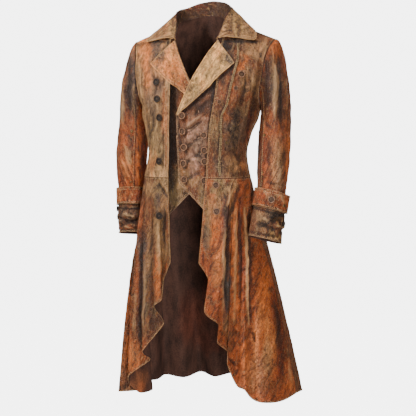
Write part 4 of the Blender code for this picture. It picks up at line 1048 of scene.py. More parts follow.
# Buttons: name, x, z
WAISTCOAT_BUTTONS = (
    ("left_1", -0.0230, -0.2860),
    ("left_2", -0.0225, -0.3320),
    ("left_3", -0.0185, -0.3795),
    ("left_4", -0.0205, -0.4270),
    ("left_5", -0.0180, -0.4755),
    ("right_1", 0.0440, -0.3430),
    ("right_2", 0.0445, -0.3880),
    ("right_3", 0.0450, -0.4210),
    ("right_4", 0.0440, -0.4770),
)
# The pinkish patches by the buttons are painted highlights on the folds; the umber patch under the left
# lapel and the umber and black patches beside the coat's right front edge are painted shade
WAISTCOAT_PAINT = (
    (-30, -230, 40, 30, "umber", 0.75), (0, -250, 22, 30, "brown", 0.5), (-62, -262, 20, 30, "rust", 0.6),
    (-100, -300, 22, 80, "umber", 0.8), (-96, -400, 18, 60, "black", 0.55),
    (-35, -315, 40, 22, "mauve", 0.6), (0, -345, 50, 26, "mauve", 0.85), (-30, -372, 40, 30, "mauve", 0.8),
    (-20, -410, 46, 36, "mauve", 0.8), (-40, -360, 16, 9, "blush", 0.8),
    (-28, -415, 16, 10, "blush", 0.75), (-50, -335, 14, 7, "blush", 0.7), (-14, -330, 20, 7, "blush", 0.5),
    (-36, -448, 12, 10, "blush", 0.6), (0, -300, 14, 8, "blush", 0.5), (-50, -395, 24, 20, "brown", 0.45),
    (-6, -440, 20, 20, "rust", 0.45), (28, -365, 10, 12, "umber", 0.6), (-70, -455, 30, 30, "olive", 0.5),
    (-35, -480, 34, 20, "tan", 0.6), (-90, -520, 30, 40, "olive", 0.65),
    (-10, -530, 16, 40, "olive", 0.65), (-70, -500, 16, 20, "tan", 0.5),
)
WAISTCOAT_CREASES = [
    (-62, -335, -4, -300, 6, -5.1), (-58, -322, -10, -282, 6, 4.4), (-60, -378, -4, -345, 5, -5.1),
    (-50, -362, -8, -366, 5, 4.4), (-60, -428, -4, -392, 5, -4.8), (-56, -410, -10, -418, 6, 4.1),
    (-58, -472, -6, -450, 5, -4.1), (-34, -290, 10, -240, 7, -5.8), (-80, -290, -72, -400, 6, -3.4),
]


def waistcoat_y(x, z):
    """How far forward the waistcoat front lies at an x and a height."""
    level = level_of(WAISTCOAT_ROWS, 0, z)
    _, middle, rounding = np.moveaxis(curve(WAISTCOAT_ROWS, level), -1, 0)
    return middle + rounding * np.asarray(x) ** 2


def between_edges(rows, part):
    """x and z of a panel whose rows give x and z of both its edges."""
    return [rows[..., axis] + (rows[..., axis + 2] - rows[..., axis]) * part for axis in (0, 1)]


# Painted shade under the lapel and beside the coat's edges, then a ring of painted shade and the creases
# round each button
WAISTCOAT_PAINTED_SHADE = [
    (-78, -288, 40, -186, 10, 0.9), (-20, -290, 30, -215, 12, 0.45), (27, -180, 1, -470, 8, 0.9),
    (-99, -200, -102, -500, 12, 0.75),
]
# Length of the creases that a button pulls, in millimetres, and which ways they run
PULL, PULL_TURNS = 26, np.radians((15.0, 75.0, 140.0, 200.0, 285.0))
for _, x, z in WAISTCOAT_BUTTONS:
    at, height = quarter_across(np.array([x, waistcoat_y(x, z), z])) / MM, z / MM
    # A dark ring of painted shade round the button
    WAISTCOAT_PAINTED_SHADE.append((at - 1, height, at + 1, height - 1, 14.5, 0.75))
    for turn in PULL_TURNS:
        end = (at + PULL * math.cos(turn), height + PULL * math.sin(turn))
        WAISTCOAT_CREASES.append((at, height, *end, 3.8, -2.4))
WAISTCOAT_LEATHER = leather("thin waxed cowhide, taupe brown", 0.42, 0.40, 0.60, 0.45, "#2a1f1a", "#b48c6c")
WAISTCOAT_RUMPLE = 0.0013
BACKWARD = np.array([0.0, 1.0, 0.0])
# Each panel: name, edges, how far it is set back, base tone, creases
for name, table, set_back, base, creases in (
    ("waistcoat_over_front", OVER_FRONT, 0.0, "brown", WAISTCOAT_CREASES),
    # The under front's umber base, darker than the over front's brown, is painted shade where it shows in
    # the narrow gap between the over front and the coat's right front edge
    ("waistcoat_under_front", UNDER_FRONT, 0.0045, "umber", ()),
):
    rows = curve(table, np.linspace(0.0, len(table) - 1.0, 121))[:, None, :]
    x, z = between_edges(rows, np.linspace(0.0, 1.0, 57))
    grid = np.stack([x, waistcoat_y(x, z) + set_back, z], axis=-1)
    finish = partial(painted, base=base, patches=WAISTCOAT_PAINT, painted_shade_lines=WAISTCOAT_PAINTED_SHADE)
    sew(name, grid, BACKWARD, WAISTCOAT_LEATHER, finish,
        ("first", "bottom"), ("last",), creases, rumple=WAISTCOAT_RUMPLE)

# Lapels: cut in one with the waistcoat's facings and folded back along the roll onto the coat's fronts.
# Their outer sides are paler than the coat, their edges turned and topstitched twice.

# A row for each section from the collar down: roll x, z, outer edge x, z
LEFT_LAPEL = (
    (0.069, -0.0640, 0.073, -0.066),
    (0.0600, -0.079, 0.103, -0.098),
    (0.0500, -0.096, 0.131, -0.131),
    (0.0280, -0.135, 0.102, -0.160),
    (0.0060, -0.176, 0.072, -0.190),
    (-0.0200, -0.232, 0.022, -0.235),
    (-0.0405, -0.281, -0.0375, -0.284),
)
RIGHT_LAPEL = (
    (-0.066, -0.0640, -0.070, -0.066),
    (-0.0580, -0.078, -0.101, -0.098),
    (-0.0480, -0.096, -0.131, -0.131),
    (-0.0340, -0.122, -0.102, -0.155),
    (-0.0200, -0.149, -0.073, -0.179),
    (-0.0080, -0.172, -0.044, -0.201),
    (0.0020, -0.192, -0.0155, -0.222),
)
LAPEL_PAINT = (
    (38, -105, 16, 30, "peach", 0.45), (70, -116, 26, 26, "grey", 0.85), (74, -122, 18, 18, "slate", 0.75),
    (48, -140, 16, 14, "olive", 0.6), (20, -165, 26, 30, "pale", 0.55), (-4, -200, 14, 20, "peach", 0.35),
    (-30, -225, 20, 40, "olive", 0.75), (-54, -262, 20, 20, "tan", 0.7), (4, -150, 12, 30, "olive", 0.6),
    (30, -168, 10, 12, "grey", 0.4), (-126, -86, 22, 24, "slate", 0.8), (-150, -118, 18, 20, "umber", 0.7),
    (-110, -120, 26, 28, "peach", 0.85), (-96, -150, 24, 24, "orange", 0.55),
    (-68, -192, 26, 24, "rust", 0.75), (-56, -205, 16, 16, "umber", 0.6), (-118, -75, 14, 14, "pale", 0.5),
    (-132, -104, 12, 40, "slate", 0.85), (-120, -86, 10, 30, "grey", 0.65),
    (-88, -165, 8, 30, "umber", 0.45), (-100, -98, 6, 30, "pale", 0.5), (56, -100, 6, 30, "pale", 0.5),
    (12, -130, 6, 30, "umber", 0.35),
)
# Painted shade just under the collar
LAPEL_PAINTED_SHADE = (
    (-122, -67, -94, -54, 6, 0.9), (30, -64, 62, -67, 6, 0.8),
)
LAPEL_CREASES = (
    (60, -85, 82, -125, 6, 1.6), (20, -140, 54, -160, 7, -1.4), (-130, -85, -146, -118, 6, 1.4),
    (-110, -130, -80, -176, 7, 1.6),
)
LAPEL_LEATHER = leather("waxed cowhide, pale tan facing", 0.46, 0.55, 0.85, 0.45, "#3a2b20", "#e6ab6c")


def refined(points, rows, columns):
    """A finer grid on a smooth surface through the points of a coarse one."""
    high, wide = points.shape[:2]
    down = curve(points.reshape(high, -1), np.linspace(0.0, high - 1.0, rows)).reshape(rows, wide, 3)
    over = np.swapaxes(down, 0, 1).reshape(wide, -1)
    return np.swapaxes(curve(over, np.linspace(0.0, wide - 1.0, columns)).reshape(columns, rows, 3), 0, 1)


LAPEL_RUMPLE = 0.0007
LAPEL_CLEAR = 0.0055
# Each lapel: side, sections, how far it stands off the waistcoat, base tone, flat cut
for side, table, off_waistcoat, base, cut in (
    ("left", LEFT_LAPEL, 0.0055, "pale", (0.110, 0.270, 0.0130)),
    ("right", RIGHT_LAPEL, 0.0027, "peach", (0.110, 0.200, 0.0098)),
):
    along = np.linspace(0.0, len(table) - 1.0, 25)
    rows = (curve(table, along) + 2.0 * straight_curve(table, along))[:, None, :] / 3.0
    x, z = between_edges(rows, np.linspace(0.0, 1.0, 8))
    y = waistcoat_y(x, z) - off_waistcoat
    under = front_at(side, x, z)
    cover = smooth_step((SIDES[side] * (x - under[..., 0]) + 0.020) / 0.014)
    y = np.minimum(y, y + (under[..., 1] - LAPEL_CLEAR - y) * cover)
    for _ in range(4):
        middle = (y[1:-1, 2:] + y[1:-1, :-2] + y[2:, 1:-1] + y[:-2, 1:-1]) / 4.0
        y[1:-1, 1:-1] = np.minimum(middle, y[1:-1, 1:-1])
    grid = refined(np.stack([x, y, z], axis=-1), 97, 49)
    finish = partial(painted, base=base, patches=LAPEL_PAINT, painted_shade_lines=LAPEL_PAINTED_SHADE)
    sew("lapel_" + side, grid, BACKWARD, LAPEL_LEATHER, finish,
        ("first", "last", "top", "bottom"), (),
        LAPEL_CREASES, rumple=LAPEL_RUMPLE)

# Collar: one piece, a low stand that folds over into two long points on the shoulders.
# Its outside is pale worn tan, its inside the coat's redder brown, sewn on along the neck.

# Sections from the centre back to the point: fold x, y, z, fall edge x, y, z, neck edge x, y, z
COLLAR_ROWS = (
    (0.000, 0.078, 0.067, 0.000, 0.106, 0.004, 0.000, 0.060, 0.0225),
    (0.042, 0.069, 0.060, 0.056, 0.096, -0.001, 0.038, 0.052, 0.0200),
    (0.071, 0.041, 0.044, 0.106, 0.060, -0.009, 0.064, 0.030, 0.0120),
    (0.085, 0.008, 0.036, 0.146, 0.012, -0.021, 0.074, 0.003, 0.0040),
    (0.0815, -0.030, 0.020, 0.171, -0.041, -0.0620, 0.076, -0.026, -0.0130),
    (0.0745, -0.054, -0.020, 0.133, -0.063, -0.0570, 0.0725, -0.052, -0.0370),
    (0.069, -0.085, -0.054, 0.098, -0.083, -0.0515, 0.067, -0.080, -0.0600),
)
COLLAR_PAINT = (
    (85, -10, 18, 40, "olive", 0.75), (60, 10, 14, 30, "umber", 0.55), (72, -40, 8, 40, "brown", 0.6),
    (112, -14, 8, 40, "grey", 0.55), (105, -30, 16, 14, "umber", 0.6), (124, -50, 20, 8, "pale", 0.4),
    (90, -50, 20, 14, "brown", 0.6), (140, -52, 12, 10, "brown", 0.55), (-100, 10, 14, 30, "umber", 0.6),
    (-120, -20, 14, 16, "rust", 0.5), (-85, -30, 12, 30, "olive", 0.6), (-90, 15, 12, 40, "brown", 0.6),
    (-145, -48, 18, 10, "brown", 0.7), (78, -5, 4, 50, "umber", 0.55), (98, -20, 4, 50, "umber", 0.6),
    (108, -18, 5, 40, "pale", 0.55), (88, -20, 4, 50, "pale", 0.45), (128, -40, 6, 30, "grey", 0.55),
    (69, -20, 4, 40, "umber", 0.5), (-106, -10, 5, 40, "pale", 0.5), (-94, -10, 4, 40, "umber", 0.5),
    (-128, -36, 6, 30, "grey", 0.5),
)
STAND_PAINT = (
    (-30, 45, 70, 22, "brick", 0.6), (40, 50, 50, 30, "umber", 0.8), (-80, 30, 30, 40, "umber", 0.8),
    (0, 30, 80, 16, "umber", 0.8),
)


# How far the collar's sewn edge laps over the neckline of the backs: outward, down
NECK_LAP = (0.0014, 0.0026)


# Where in a section the fall starts, and how far it stays off the bodice
FALL_START, FALL_CLEAR = 4, 0.0050
# Half width of the turn over the fold
FOLD_CROWN = 0.0045


def collar_section(row):
    """One section through the collar: up the stand, over the fold, down the fall."""
    fold, edge, neck = row[0:3], row[3:6], row[6:9]
    out = unit(edge - fold)
    up = np.array([0.0, 0.0, 1.0])
    away = unit(out - up * np.dot(out, up))
    if neck[1] > 0.0:
        neck = back_surface("left", neck[0] / ARMHOLE[0][1], 0.0) + away * NECK_LAP[0] - up * NECK_LAP[1]
    across, down = away * FOLD_CROWN, up * FOLD_CROWN
    inner_mid = neck + (fold - neck) * 0.55 - away * 0.0015
    outer_top = fold + across - down
    fall_mid = outer_top + (edge - outer_top) * 0.45 + up * 0.0020
    return np.array([neck, inner_mid, fold - across - down, fold, outer_top, fall_mid, edge])


def lift_off(points, clearance):
    """Moves what lies on the bodice out until it is clear of it."""
    close = np.linspace(0.0, 9.0, 73)[:, None]
    beside = np.linspace(0.0, 1.0, 61)[None, :]
    under = np.concatenate([surface(side, beside, close).reshape(-1, 3)
                            for side in SIDES for surface in (front_surface, back_surface)])
    away = body_normal(under)
    lifted = points.copy()
    for _ in range(3):
        for index in np.ndindex(points.shape[:-1]):
            near = np.argmin(np.sum((under - lifted[index]) ** 2, axis=1))
            above = np.dot(lifted[index] - under[near], away[near])
            if above < clearance and np.linalg.norm(lifted[index] - under[near]) < 0.03:
                lifted[index] += away[near] * (clearance - above)
    return lifted


def collar_paint(points):
    """Tan outside, redder brown on the stand's inner side."""
    down = np.linspace(0.0, 6.0, points.shape[0])[:, None, None]
    inner = painted(points, "umber", STAND_PAINT)
    outer = painted(points, "tan", COLLAR_PAINT)
    return inner + (outer - inner) * smooth_step((down - 2.6) / 0.8)


half = curve(COLLAR_ROWS, np.linspace(0.0, len(COLLAR_ROWS) - 1.0, 13))
sections = [collar_section(row) for row in half]
whole = [section * np.array([-1.0, 1.0, 1.0]) for section in sections[:0:-1]] + sections
points = np.stack(whole, axis=1)
points[FALL_START:] = lift_off(points[FALL_START:], FALL_CLEAR)
grid = refined(points, 73, 241)
# The fall alone, the outer half of the grid, says which way is inward
toward = np.array([0.0, 0.0, -0.060]) - grid
toward[:len(grid) // 2] = 0.0
sew("collar", grid, toward, LAPEL_LEATHER, collar_paint,
    ("first", "last", "bottom"), rumple=LAPEL_RUMPLE)

# Welt on the left front: a narrow raised strip from under the collar to an eyelet at the waist.
# It is folded leather, sewn down along both its sides.

WELT = (
    (0.1290, -0.076),
    (0.1355, -0.105),
    (0.1370, -0.130),
    (0.1330, -0.165),
    (0.1270, -0.200),
    (0.1170, -0.251),
    (0.1010, -0.290),
    (0.0985, -0.349),
    (0.0930, -0.426),
    (0.0960, -0.460),
)
WELT_WIDTH = 0.0060


def front_facing(side, points):
    """Which way the coat front faces at points on it."""
    x, z = points[..., 0], points[..., 2]
    beside = front_at(side, x + 0.004, z) - front_at(side, x - 0.004, z)
    below = front_at(side, x, z - 0.006) - front_at(side, x, z + 0.006)
    away = unit(np.cross(beside, below))
    return away * np.where(away[..., 1:2] < 0.0, 1.0, -1.0)


def welt_ridges_and_shade_paint(points):
    """Olive, with painted shade along the middle and both sides of the welt and painted highlight on the
    two ridges between.
    """
    return painted(points, "olive", ()) * (0.25 + 0.75 * np.sin(2.0 * np.pi * over[..., None]) ** 2)


path = curve(WELT, np.linspace(0.0, len(WELT) - 1.0, 181))
over = np.linspace(-0.5, 0.5, 9)[None, :]
base_line = front_at("left", path[:, :1] + over * WELT_WIDTH, path[:, 1:] + 0.0 * over)
away = front_facing("left", base_line)
height = relief(base_line, FRONT_CREASES, COAT_RUMPLE) + 0.0020 + 0.0008 * (1.0 - 4.0 * over**2)
grid = base_line + away * height[..., None]
sew("front_welt_left", grid, -away, COAT_LEATHER, welt_ridges_and_shade_paint,
    rumple=0.0003)

# Buttons: turned from dark horn with a raised rim, a sunk middle and four holes, sewn on with thread.
# The rims are rubbed brown. The small studs on the coat, sleeves and cuffs are domed dull brass.

COAT_BUTTON, SMALL_BUTTON, STUD, CUFF_KNOB, PIN_STUD = 0.011, 0.007, 0.0045, 0.009, 0.003
BUTTON_THICK = 0.0035
# Shares of a button's radius: how far out its holes are, their width, the thread's half width
HOLE_OUT, HOLE_WIDE, THREAD_WIDE = 0.27, 0.11, 0.055
# Buttons on the coat fronts: name, front, x, z, radius
COAT_BUTTONS = (
    ("right_1", "right", -0.1060, -0.186, COAT_BUTTON),
    ("right_2", "right", -0.0980, -0.237, COAT_BUTTON),
    ("right_3", "right", -0.0910, -0.292, COAT_BUTTON),
    ("right_4", "right", -0.0930, -0.421, COAT_BUTTON),
    ("left_1", "left", 0.1535, -0.166, COAT_BUTTON),
    ("left_2", "left", 0.1410, -0.206, SMALL_BUTTON),
    ("left_3", "left", 0.0965, -0.246, SMALL_BUTTON),
    ("left_4", "left", 0.1120, -0.365, STUD),
)
# Buttons on the front skirts: name, skirt, first and last fold line there, x, z, radius
SKIRT_BUTTONS = (
    ("left_5", "left", 0, 4, 0.0850, -0.489, COAT_BUTTON),
    ("left_6", "left", 0, 4, 0.0860, -0.566, COAT_BUTTON),
    ("right_5", "right", 32, 37, -0.0930, -0.584, COAT_BUTTON),
)
# Buttons on the arms: name, side, what it is on, angle about the arm, z, radius
ARM_BUTTONS = (
    ("cuff_left_1", "left", "cuff_band_", 73.0, -0.539, COAT_BUTTON),
    ("cuff_left_2", "left", "cuff_band_", 28.0, -0.546, STUD),
    ("cuff_left_3", "left", "cuff_", 52.0, -0.579, CUFF_KNOB),
    ("cuff_left_4", "left", "cuff_", 8.0, -0.596, CUFF_KNOB),
    ("cuff_right_1", "right", "cuff_", 12.0, -0.577, CUFF_KNOB),
    ("cuff_right_2", "right", "cuff_", 12.0, -0.601, CUFF_KNOB),
    ("sleeve_left_1", "left", "top_sleeve_", 111.0, -0.343, STUD),
    ("sleeve_left_2", "left", "top_sleeve_", 112.0, -0.452, PIN_STUD),
    ("sleeve_left_3", "left", "top_sleeve_", 112.0, -0.468, PIN_STUD),
    ("sleeve_left_4", "left", "top_sleeve_", 112.0, -0.484, PIN_STUD),
    ("sleeve_right_1", "right", "top_sleeve_", 108.0, -0.335, STUD),
    ("sleeve_right_2", "right", "top_sleeve_", 108.0, -0.496, PIN_STUD),
)
# Half section of a button and of a stud, from the middle of the front to the middle of the back:
# share of the radius, share of the thickness, how much it is rubbed
BUTTON_SECTION = (
    (0.00, 0.58, 0.2), (0.10, 0.58, 0.2), (0.17, 0.58, 0.2), (0.21, 0.58, 0.2), (0.25, 0.58, 0.3),
    (0.29, 0.58, 0.4), (0.33, 0.58, 0.5), (0.37, 0.58, 0.5), (0.44, 0.55, 0.4), (0.50, 0.36, 0.0),
    (0.63, 0.40, 0.0), (0.69, 0.84, 0.3), (0.74, 0.99, 1.0), (0.82, 1.02, 1.0), (0.90, 0.94, 0.9),
    (0.96, 0.78, 0.6), (1.00, 0.50, 0.3), (0.97, 0.22, 0.1), (0.90, 0.02, 0.0), (0.40, 0.00, 0.0),
    (0.36, -0.42, 0.0), (0.00, -0.42, 0.0),
)
STUD_SECTION = (
    (0.00, 1.00, 1.0), (0.20, 0.98, 1.0), (0.40, 0.88, 0.8), (0.56, 0.68, 0.3), (0.66, 0.50, 0.0),
    (0.74, 0.56, 0.5), (0.84, 0.62, 1.0), (0.94, 0.52, 0.7), (1.00, 0.30, 0.2), (0.98, -0.20, 0.0),
    (0.00, -0.30, 0.0),
)


def rubbed_finish(name, dark_hex, wear_and_highlight_hex, metallic, roughness):
    """Dark ground with paler rubbed rims: turned horn polishes to a soft gloss, brass dulls and browns."""
    made, tree, shader = new_finish(name)
    place = add_node(tree, "ShaderNodeTexCoord").outputs["Object"]
    cloud = add_node(tree, "ShaderNodeTexNoise", {"Vector": place}, {"Scale": 1 / 0.004, "Detail": 4.0})
    rub = add_node(tree, "ShaderNodeAttribute", attribute_name="rubbed").outputs["Fac"]
    patchy = add_node(tree, "ShaderNodeMapRange", {"Value": cloud.outputs["Fac"]},
                      {"From Min": 0.35, "From Max": 0.65, "To Min": 0.25, "To Max": 1.0})
    share = add_node(tree, "ShaderNodeMath", {0: rub, 1: patchy.outputs[0]}, operation="MULTIPLY")
    colour = add_node(tree, "ShaderNodeMix", {0: share.outputs[0]},
                      {6: (*linear(dark_hex), 1.0), 7: (*linear(wear_and_highlight_hex), 1.0)}, data_type="RGBA")
    tree.links.new(colour.outputs[2], shader.inputs["Base Color"])
    bump = add_node(tree, "ShaderNodeBump", {"Height": cloud.outputs["Fac"]},
                    {"Strength": 0.3, "Distance": 0.0004})
    tree.links.new(bump.outputs[0], shader.inputs["Normal"])
    shader.inputs["Metallic"].default_value = metallic
    shader.inputs["Specular IOR Level"].default_value = 0.12
    shader.inputs["Roughness"].default_value = roughness
    return made


HORN = rubbed_finish("turned dark horn", "#160d08", "#8a6248", 0.0, 0.45)
BLACK_HORN = rubbed_finish("turned black horn", "#0f0c0a", "#3a2a1e", 0.0, 0.55)
BRASS = rubbed_finish("dull browned brass", "#3a2a1c", "#8d7350", 1.0, 0.45)


def linen(name, tone):
    """Thread that sews the buttons on and shows along the seams."""
    made, _, shader = new_finish(name)
    shader.inputs["Base Color"].default_value = (*linear(tone), 1.0)
    shader.inputs["Roughness"].default_value = 0.8
    return made


THREAD, BUTTON_THREAD = linen("waxed tan linen thread", "#a9845b"), linen("dark linen thread", "#3a271b")


def sew_on(name, centre, away, radius, finish):
    """One button or stud: a turned section, with holes and a cross of thread where it has them."""
    away = unit(np.asarray(away, float))
    beside = unit(np.cross(away, np.array([0.0, 0.0, 1.0])))
    upward = np.cross(beside, away)
    holed = radius > STUD
    section = np.array(BUTTON_SECTION if holed else STUD_SECTION)
    turns = np.linspace(0.0, 2.0 * math.pi, 48 if holed else 24, endpoint=False)[None, :]
    wide, high = section[1:-1, 0:1] * radius, section[1:-1, 1:2] * BUTTON_THICK
    flat_x, flat_y = wide * np.cos(turns), wide * np.sin(turns)
    high = high + 0.0 * turns
    if holed:
        for turn in np.radians((45.0, 135.0, 225.0, 315.0)):
            hole_x, hole_y = HOLE_OUT * radius * math.cos(turn), HOLE_OUT * radius * math.sin(turn)
            far = np.hypot(flat_x - hole_x, flat_y - hole_y)
            dip = np.exp(-((far / (HOLE_WIDE * radius)) ** 4)) * 0.42 * BUTTON_THICK
            high = high - np.where(np.arange(len(high))[:, None] < 9, dip, 0.0)
    rings = flat_x[..., None] * beside + flat_y[..., None] * upward + high[..., None] * away
    count = rings.shape[1]
    ends = [away * section[0, 1] * BUTTON_THICK, away * section[-1, 1] * BUTTON_THICK]
    points = np.concatenate([rings.reshape(-1, 3), ends]) + centre
    faces = []
    last = len(rings) - 1
    for i in range(count):
        after = (i + 1) % count
        faces += [(r * count + i, (r + 1) * count + i, (r + 1) * count + after, r * count + after)
                  for r in range(last)]
        faces.append((len(points) - 2, i, after))
        faces.append((len(points) - 1, last * count + after, last * count + i))
    rubs = np.concatenate([np.repeat(section[1:-1, 2], count), section[[0, -1], 2]])
    kinds = [0] * len(faces)
    if holed:
        for turn in np.radians((45.0, 135.0)):
            along = beside * math.cos(turn) + upward * math.sin(turn)
            across = np.cross(away, along)
            start = len(points)
            bar = [centre + along * radius * HOLE_OUT * reach + away * (0.50 + rise) * BUTTON_THICK
                   + (across * math.cos(a) + away * math.sin(a)) * radius * THREAD_WIDE
                   for reach, rise in ((-1.0, -0.2), (-0.8, 0.08), (0.0, 0.16), (0.8, 0.08), (1.0, -0.2))
                   for a in np.radians((0.0, 60.0, 120.0, 180.0, 240.0, 300.0))]
            points = np.concatenate([points, bar])
            rubs = np.concatenate([rubs, np.zeros(len(bar))])
            added = [(start + r * 6 + i, start + r * 6 + (i + 1) % 6, start + r * 6 + 6 + (i + 1) % 6,
                      start + r * 6 + 6 + i) for r in range(4) for i in range(6)]
            added += [tuple(range(start + 5, start - 1, -1)), tuple(range(start + 24, start + 30))]
            faces += added
            kinds += [1] * len(added)
    mesh = bpy.data.meshes.new(name)
    mesh.from_pydata(points.tolist(), [], faces)
    mesh.materials.append(finish)
    mesh.materials.append(BUTTON_THREAD)
    mesh.polygons.foreach_set("material_index", kinds)
    mesh.attributes.new("rubbed", "FLOAT", "POINT").data.foreach_set("value", rubs.astype(np.float32))
    mesh.shade_smooth()
    mesh.set_sharp_from_angle(angle=math.radians(50.0))
    piece = placed(name, mesh)
    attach(piece, "root")
    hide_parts(name.replace("_turned", ""))


for name, side, x, z, radius in COAT_BUTTONS:
    point = front_at(side, x, z)
    away = front_facing(side, point)
    lift = float(relief(point, FRONT_CREASES, COAT_RUMPLE)) + 0.0016
    finish = BRASS if radius <= STUD else BLACK_HORN if side == "right" else HORN
    sew_on("button_coat_" + name + "_turned", point + away * lift, away, radius, finish)
for name, side, first, last, x, z, radius in SKIRT_BUTTONS:
    lines, falls = np.meshgrid(np.arange(first, last, 0.04), np.arange(0.0, 0.5, 0.004))
    found = skirt_surface(lines, falls)
    place = np.unravel_index(np.argmin((found[..., 0] - x) ** 2 + (found[..., 2] - z) ** 2), lines.shape)
    line, fall = lines[place], falls[place]
    beside = skirt_surface(line + 0.1, fall) - skirt_surface(line - 0.1, fall)
    below = skirt_surface(line, fall + 0.02) - skirt_surface(line, fall - 0.02)
    away = unit(np.cross(beside, below))
    away = away * (1.0 if away[1] < 0.0 else -1.0)
    creases = LEFT_SKIRT_CREASES if side == "left" else RIGHT_SKIRT_CREASES
    lift = float(relief(found[place], creases, COAT_RUMPLE)) + 0.0020
    sew_on("button_coat_" + name + "_turned", found[place] + away * lift, away, radius,
           BLACK_HORN if side == "right" else HORN)
for name, x, z in WAISTCOAT_BUTTONS:
    point = np.array([x, float(waistcoat_y(x, z)), z])
    away = unit(np.array([2.2 * x, -1.0, 0.0]))
    lift = max(float(relief(point, WAISTCOAT_CREASES, WAISTCOAT_RUMPLE)), 0.0) + 0.0026
    sew_on("button_waistcoat_" + name + "_turned", point + away * lift, away, COAT_BUTTON, HORN)
for name, side, under, angle, z, radius in ARM_BUTTONS:
    if under == "top_sleeve_":
        level = 1.0 + float(level_of(ARM_ROWS, 0, z))
        point = sleeve_surface(side, angle, level)
        middle = sleeve_surface(side, np.arange(0.0, 360.0, 30.0), level).mean(axis=0)
        lift = float(relief(point, SLEEVE_CREASES[side], COAT_RUMPLE))
    else:
        rings, creases, waves = {row[0]: (row[1], row[5], row[6]) for row in CUFF_PIECES}[under]
        level = float(level_of(rings, 0, z))
        around_arm = np.append(angle, np.arange(0.0, 360.0, 30.0))
        found = arm_ring(side, curve(rings, level + 0.0 * around_arm), around_arm, RING_TILT[side])
        point, middle = found[0], found[1:].mean(axis=0)
        lift = float(relief(point, creases, waves))
    away = unit((point - middle) * np.array([1.0, 1.0, 0.0]))
    finish = BRASS if radius <= STUD else BLACK_HORN if radius == CUFF_KNOB else HORN
    sew_on("button_" + name + "_turned", point + away * (lift + 0.0012), away, radius, finish)

# Topstitching: waxed linen thread, a stitch every 5.6 mm, along the turned edges and the seams.
# Many stitches are worn through; the thread is drawn a little thick so that it shows.

STITCH_PITCH, STITCH_LENGTH, THREAD_THICK = 0.0056, 0.0040, 0.0011
# How far the welt's two rows and a second row beside a facing run in from the edge
WELT_INSET, FACING_INSET = 0.0012, 0.0140
# Rows of stitches: piece, edge, distances in from it. A name that ends in _ stands for left and right
STITCH_ROWS = (
    ("bodice_front_left", "first", (STITCH_INSET,)),
    ("bodice_front_right", "first", (STITCH_INSET, FACING_INSET)),
    ("bodice_front_", "bottom", (SEAM_INSET,)),
    ("bodice_back_", "bottom", (SEAM_INSET,)), ("bodice_back_", "first", (SEAM_INSET,)),
    ("bodice_front_", "last", (SEAM_INSET,)), ("skirt_front_", "top", (SEAM_INSET,)),
    ("skirt_front_left", "first", (STITCH_INSET,)), ("skirt_front_right", "last", (STITCH_INSET,)),
    ("skirt_front_", "bottom", (STITCH_INSET,)), ("skirt_back_", "bottom", (STITCH_INSET,)),
    ("skirt_back_left", "last", (SEAM_INSET,)), ("top_sleeve_", "last", (SEAM_INSET,)),
    ("cuff_band_", "top", (STITCH_INSET, 0.0090)), ("cuff_band_", "bottom", (STITCH_INSET,)),
    ("cuff_", "bottom", (STITCH_INSET,)), ("waistcoat_over_front", "first", (STITCH_INSET,)),
    ("waistcoat_over_front", "bottom", (STITCH_INSET, 0.0095)),
    ("waistcoat_under_front", "bottom", (STITCH_INSET, 0.0095)),
    ("lapel_left", "last", (STITCH_INSET, 0.0085)), ("lapel_left", "first", (STITCH_INSET,)),
    ("lapel_right", "last", (STITCH_INSET, 0.0085)), ("lapel_right", "first", (STITCH_INSET,)),
    ("collar", "bottom", (STITCH_INSET, 0.0090)), ("front_welt_left", "first", (WELT_INSET,)),
    ("front_welt_left", "last", (WELT_INSET,)),
)


def inset_line(name, edge, distance):
    """Line on a piece, a set distance in from one of its edges and just proud of it."""
    skin, facing = skins[name]
    if edge in ("first", "last"):
        skin, facing = np.swapaxes(skin, 0, 1), np.swapaxes(facing, 0, 1)
    if edge in ("last", "bottom"):
        skin, facing = skin[::-1], facing[::-1]
    raised = skin + facing * THREAD_THICK * 0.3
    down = distances(skin)[1]
    return np.array([[np.interp(distance, down[:, c], raised[:, c, axis]) for axis in range(3)]
                     for c in range(skin.shape[1])])


stitch_tree = bpy.data.node_groups.new("stitches along lines", "GeometryNodeTree")
stitch_tree.interface.new_socket("Geometry", in_out="INPUT", socket_type="NodeSocketGeometry")
inputs = {}
for label, value in (("Pitch", STITCH_PITCH), ("Length", STITCH_LENGTH), ("Thickness", THREAD_THICK)):
    socket = stitch_tree.interface.new_socket(label, in_out="INPUT", socket_type="NodeSocketFloat")
    inputs[socket.identifier] = value
stitch_tree.interface.new_socket("Geometry", in_out="OUTPUT", socket_type="NodeSocketGeometry")
given = add_node(stitch_tree, "NodeGroupInput")
lines_in = add_node(stitch_tree, "GeometryNodeMeshToCurve", {0: given.outputs["Geometry"]})
spaced = add_node(stitch_tree, "GeometryNodeCurveToPoints",
                  {"Curve": lines_in.outputs[0], "Length": given.outputs["Pitch"]}, mode="LENGTH")
aligned = add_node(stitch_tree, "FunctionNodeAlignRotationToVector", {"Vector": spaced.outputs["Tangent"]},
                   axis="X")
size = add_node(stitch_tree, "ShaderNodeCombineXYZ", {"X": given.outputs["Length"],
                                                     "Y": given.outputs["Thickness"],
                                                     "Z": given.outputs["Thickness"]})
bead = add_node(stitch_tree, "GeometryNodeMeshUVSphere", None, {"Segments": 6, "Rings": 4, "Radius": 0.5})
kept = add_node(stitch_tree, "FunctionNodeRandomValue", None, {"Probability": 0.90, "Seed": 5},
                data_type="BOOLEAN")
laid = add_node(stitch_tree, "GeometryNodeInstanceOnPoints",
                {"Points": spaced.outputs["Points"], "Selection": kept.outputs[3],
                 "Instance": bead.outputs[0], "Rotation": aligned.outputs[0], "Scale": size.outputs[0]})
